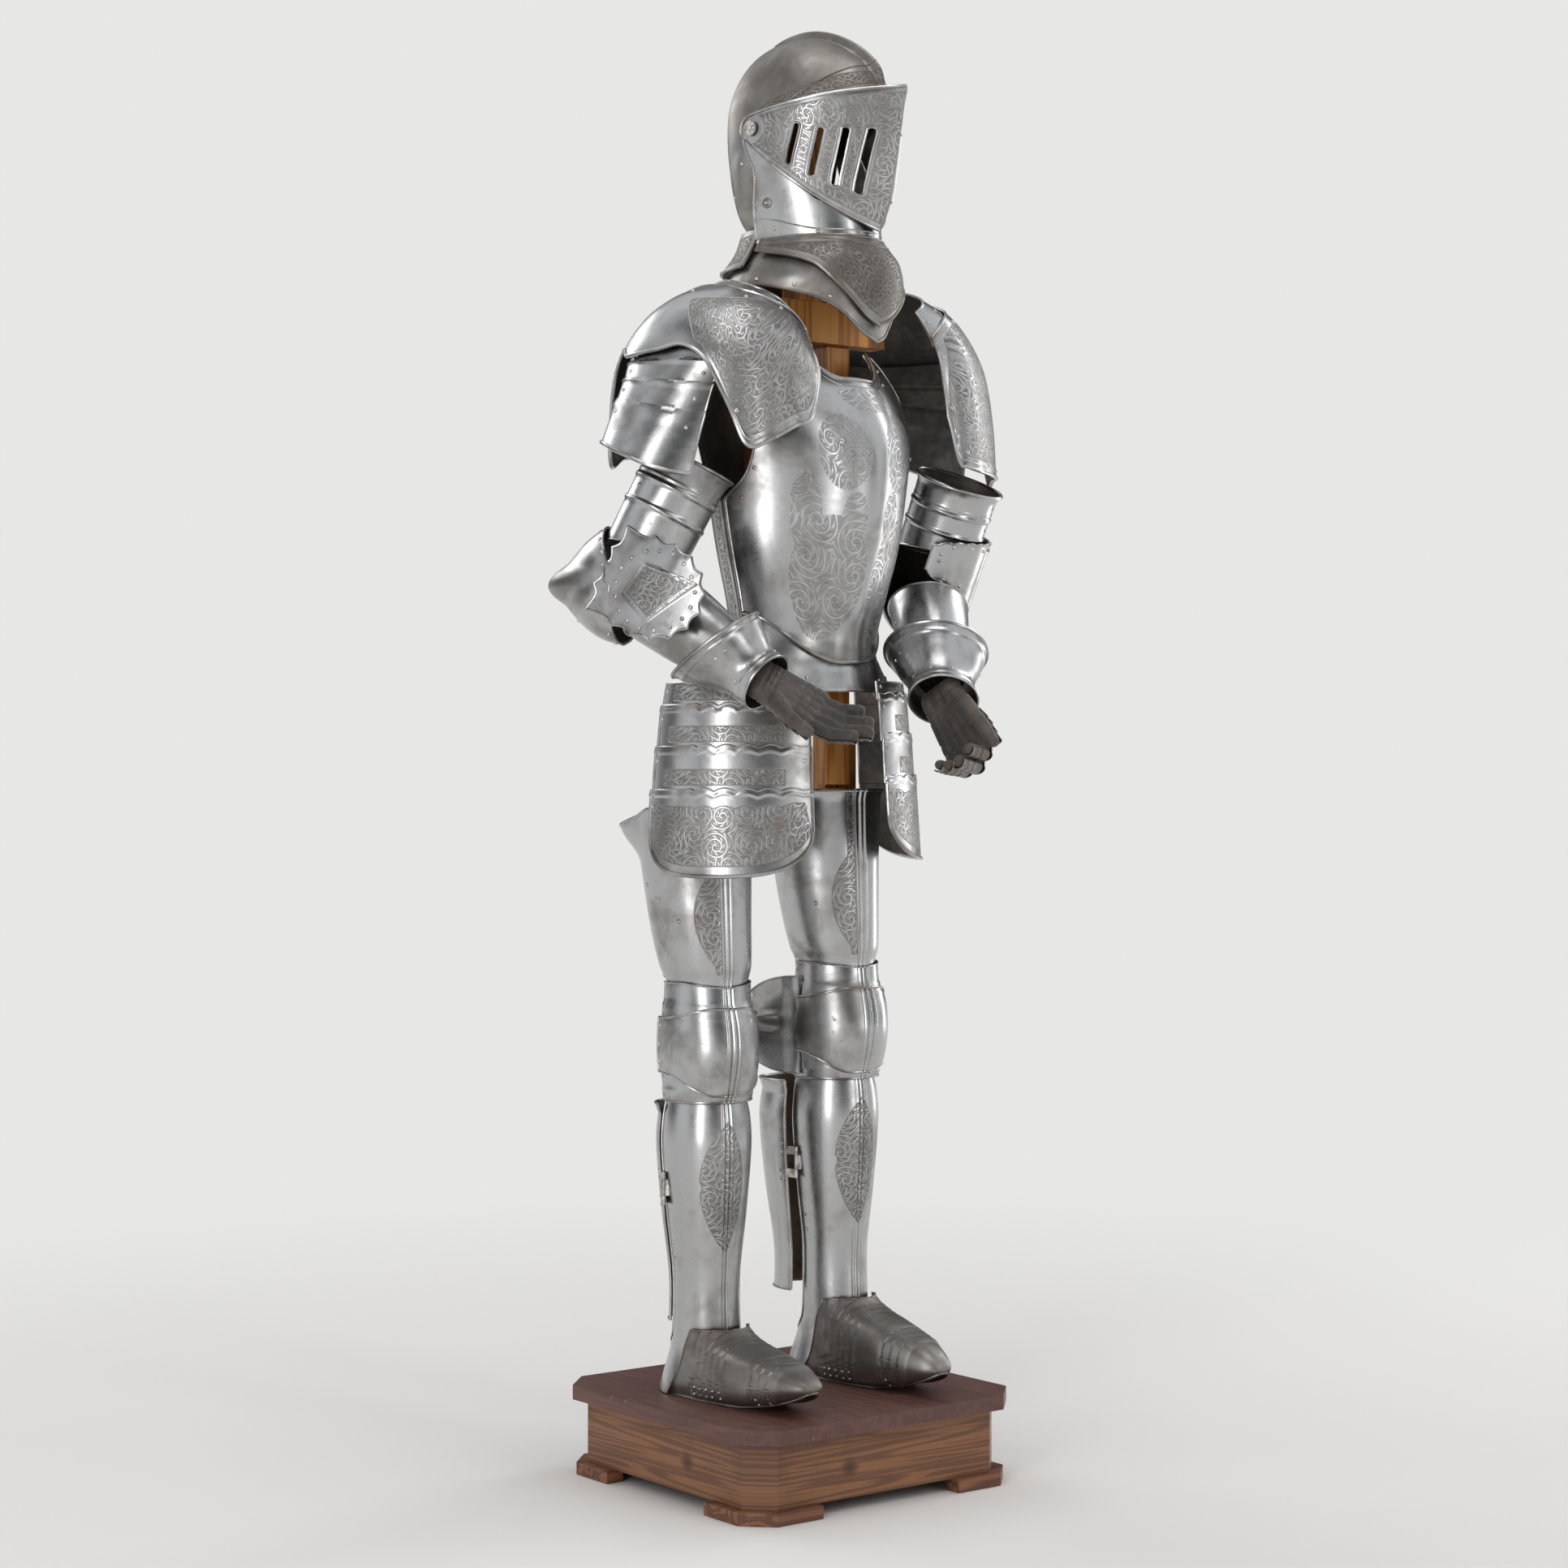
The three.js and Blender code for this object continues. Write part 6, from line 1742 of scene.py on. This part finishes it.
# The room round the suit: pale walls with softer, darker stretches for the plates to mirror.
ROOM = {
    "colour": (0.86, 0.87, 0.88), "stretch": (1.35, 1.35, 0.45), "tones": (0.38, 0.62, 0.10, 0.98),
    "Scale": 1.5, "Detail": 1.5, "Distortion": 0.4,
}
world = bpy.data.worlds.new("studio")
bpy.context.scene.world = world
world.use_nodes = True
tree = world.node_tree
tree.nodes.clear()
out = tree.nodes.new("ShaderNodeOutputWorld")
both = tree.nodes.new("ShaderNodeMixShader")
seen, around = tree.nodes.new("ShaderNodeBackground"), tree.nodes.new("ShaderNodeBackground")
rays = tree.nodes.new("ShaderNodeLightPath")
seen.inputs["Color"].default_value, seen.inputs["Strength"].default_value = (*BACKDROP, 1), 1.0
around.inputs["Color"].default_value = (*ROOM["colour"], 1)
toward, squeeze = tree.nodes.new("ShaderNodeTexCoord"), tree.nodes.new("ShaderNodeMapping")
squeeze.inputs["Scale"].default_value = ROOM["stretch"]
walls, tone = tree.nodes.new("ShaderNodeTexNoise"), tree.nodes.new("ShaderNodeMapRange")
for setting in ("Scale", "Detail", "Distortion"):
    walls.inputs[setting].default_value = ROOM[setting]
tone.interpolation_type = "SMOOTHSTEP"
for socket, value in zip(tone.inputs[1:5], ROOM["tones"]):
    socket.default_value = value
for source, target in (
    (toward.outputs["Generated"], squeeze.inputs["Vector"]),
    (squeeze.outputs[0], walls.inputs["Vector"]),
    (walls.outputs[0], tone.inputs[0]),
    (tone.outputs[0], around.inputs["Strength"]),
    (rays.outputs["Is Camera Ray"], both.inputs[0]),
    (around.outputs[0], both.inputs[1]),
    (seen.outputs[0], both.inputs[2]),
    (both.outputs[0], out.inputs[0]),
):
    tree.links.new(source, target)

LIGHTS = table("x y z aim wide high power", [  # soft boxes in metres, aimed at the axis; power in watts
    (-3.3, -1.8, 1.9, 1.0, 1.0, 3.6, 54),
    (0.7, -3.9, 1.8, 1.0, 0.5, 3.3, 20),
    (3.2, 0.2, 1.9, 1.1, 0.7, 3.5, 26),
    (-0.6, 3.2, 3.0, 1.2, 2.0, 1.4, 24),
    (-0.4, -0.6, 4.6, 0.8, 2.0, 2.0, 34),
])
for i, (x, y, z, aim, wide, high, power) in enumerate(LIGHTS[1]):
    lamp = bpy.data.lights.new("softbox_%d" % i, "AREA")
    lamp.shape, lamp.size, lamp.size_y, lamp.energy = "RECTANGLE", wide, high, power
    holder = link("softbox_%d" % i, lamp)
    holder.location = (x, y, z)
    holder.rotation_euler = Vector((x, y, z - aim)).to_track_quat("Z", "Y").to_euler()

# The photo's view: level, from the wearer's right and front.
CAMERA = {"at": (-2.5981, -3.3008, 0.9586), "turn": -37.7, "lens": 69.88, "sensor": 36}
camera = bpy.data.cameras.new("camera")
camera.lens, camera.sensor_width = CAMERA["lens"], CAMERA["sensor"]
eye = link("camera", camera)
eye.location = CAMERA["at"]
eye.rotation_euler = (math.radians(90), 0, math.radians(CAMERA["turn"]))
bpy.context.scene.camera = eye
bpy.context.scene.view_settings.view_transform = "Standard"
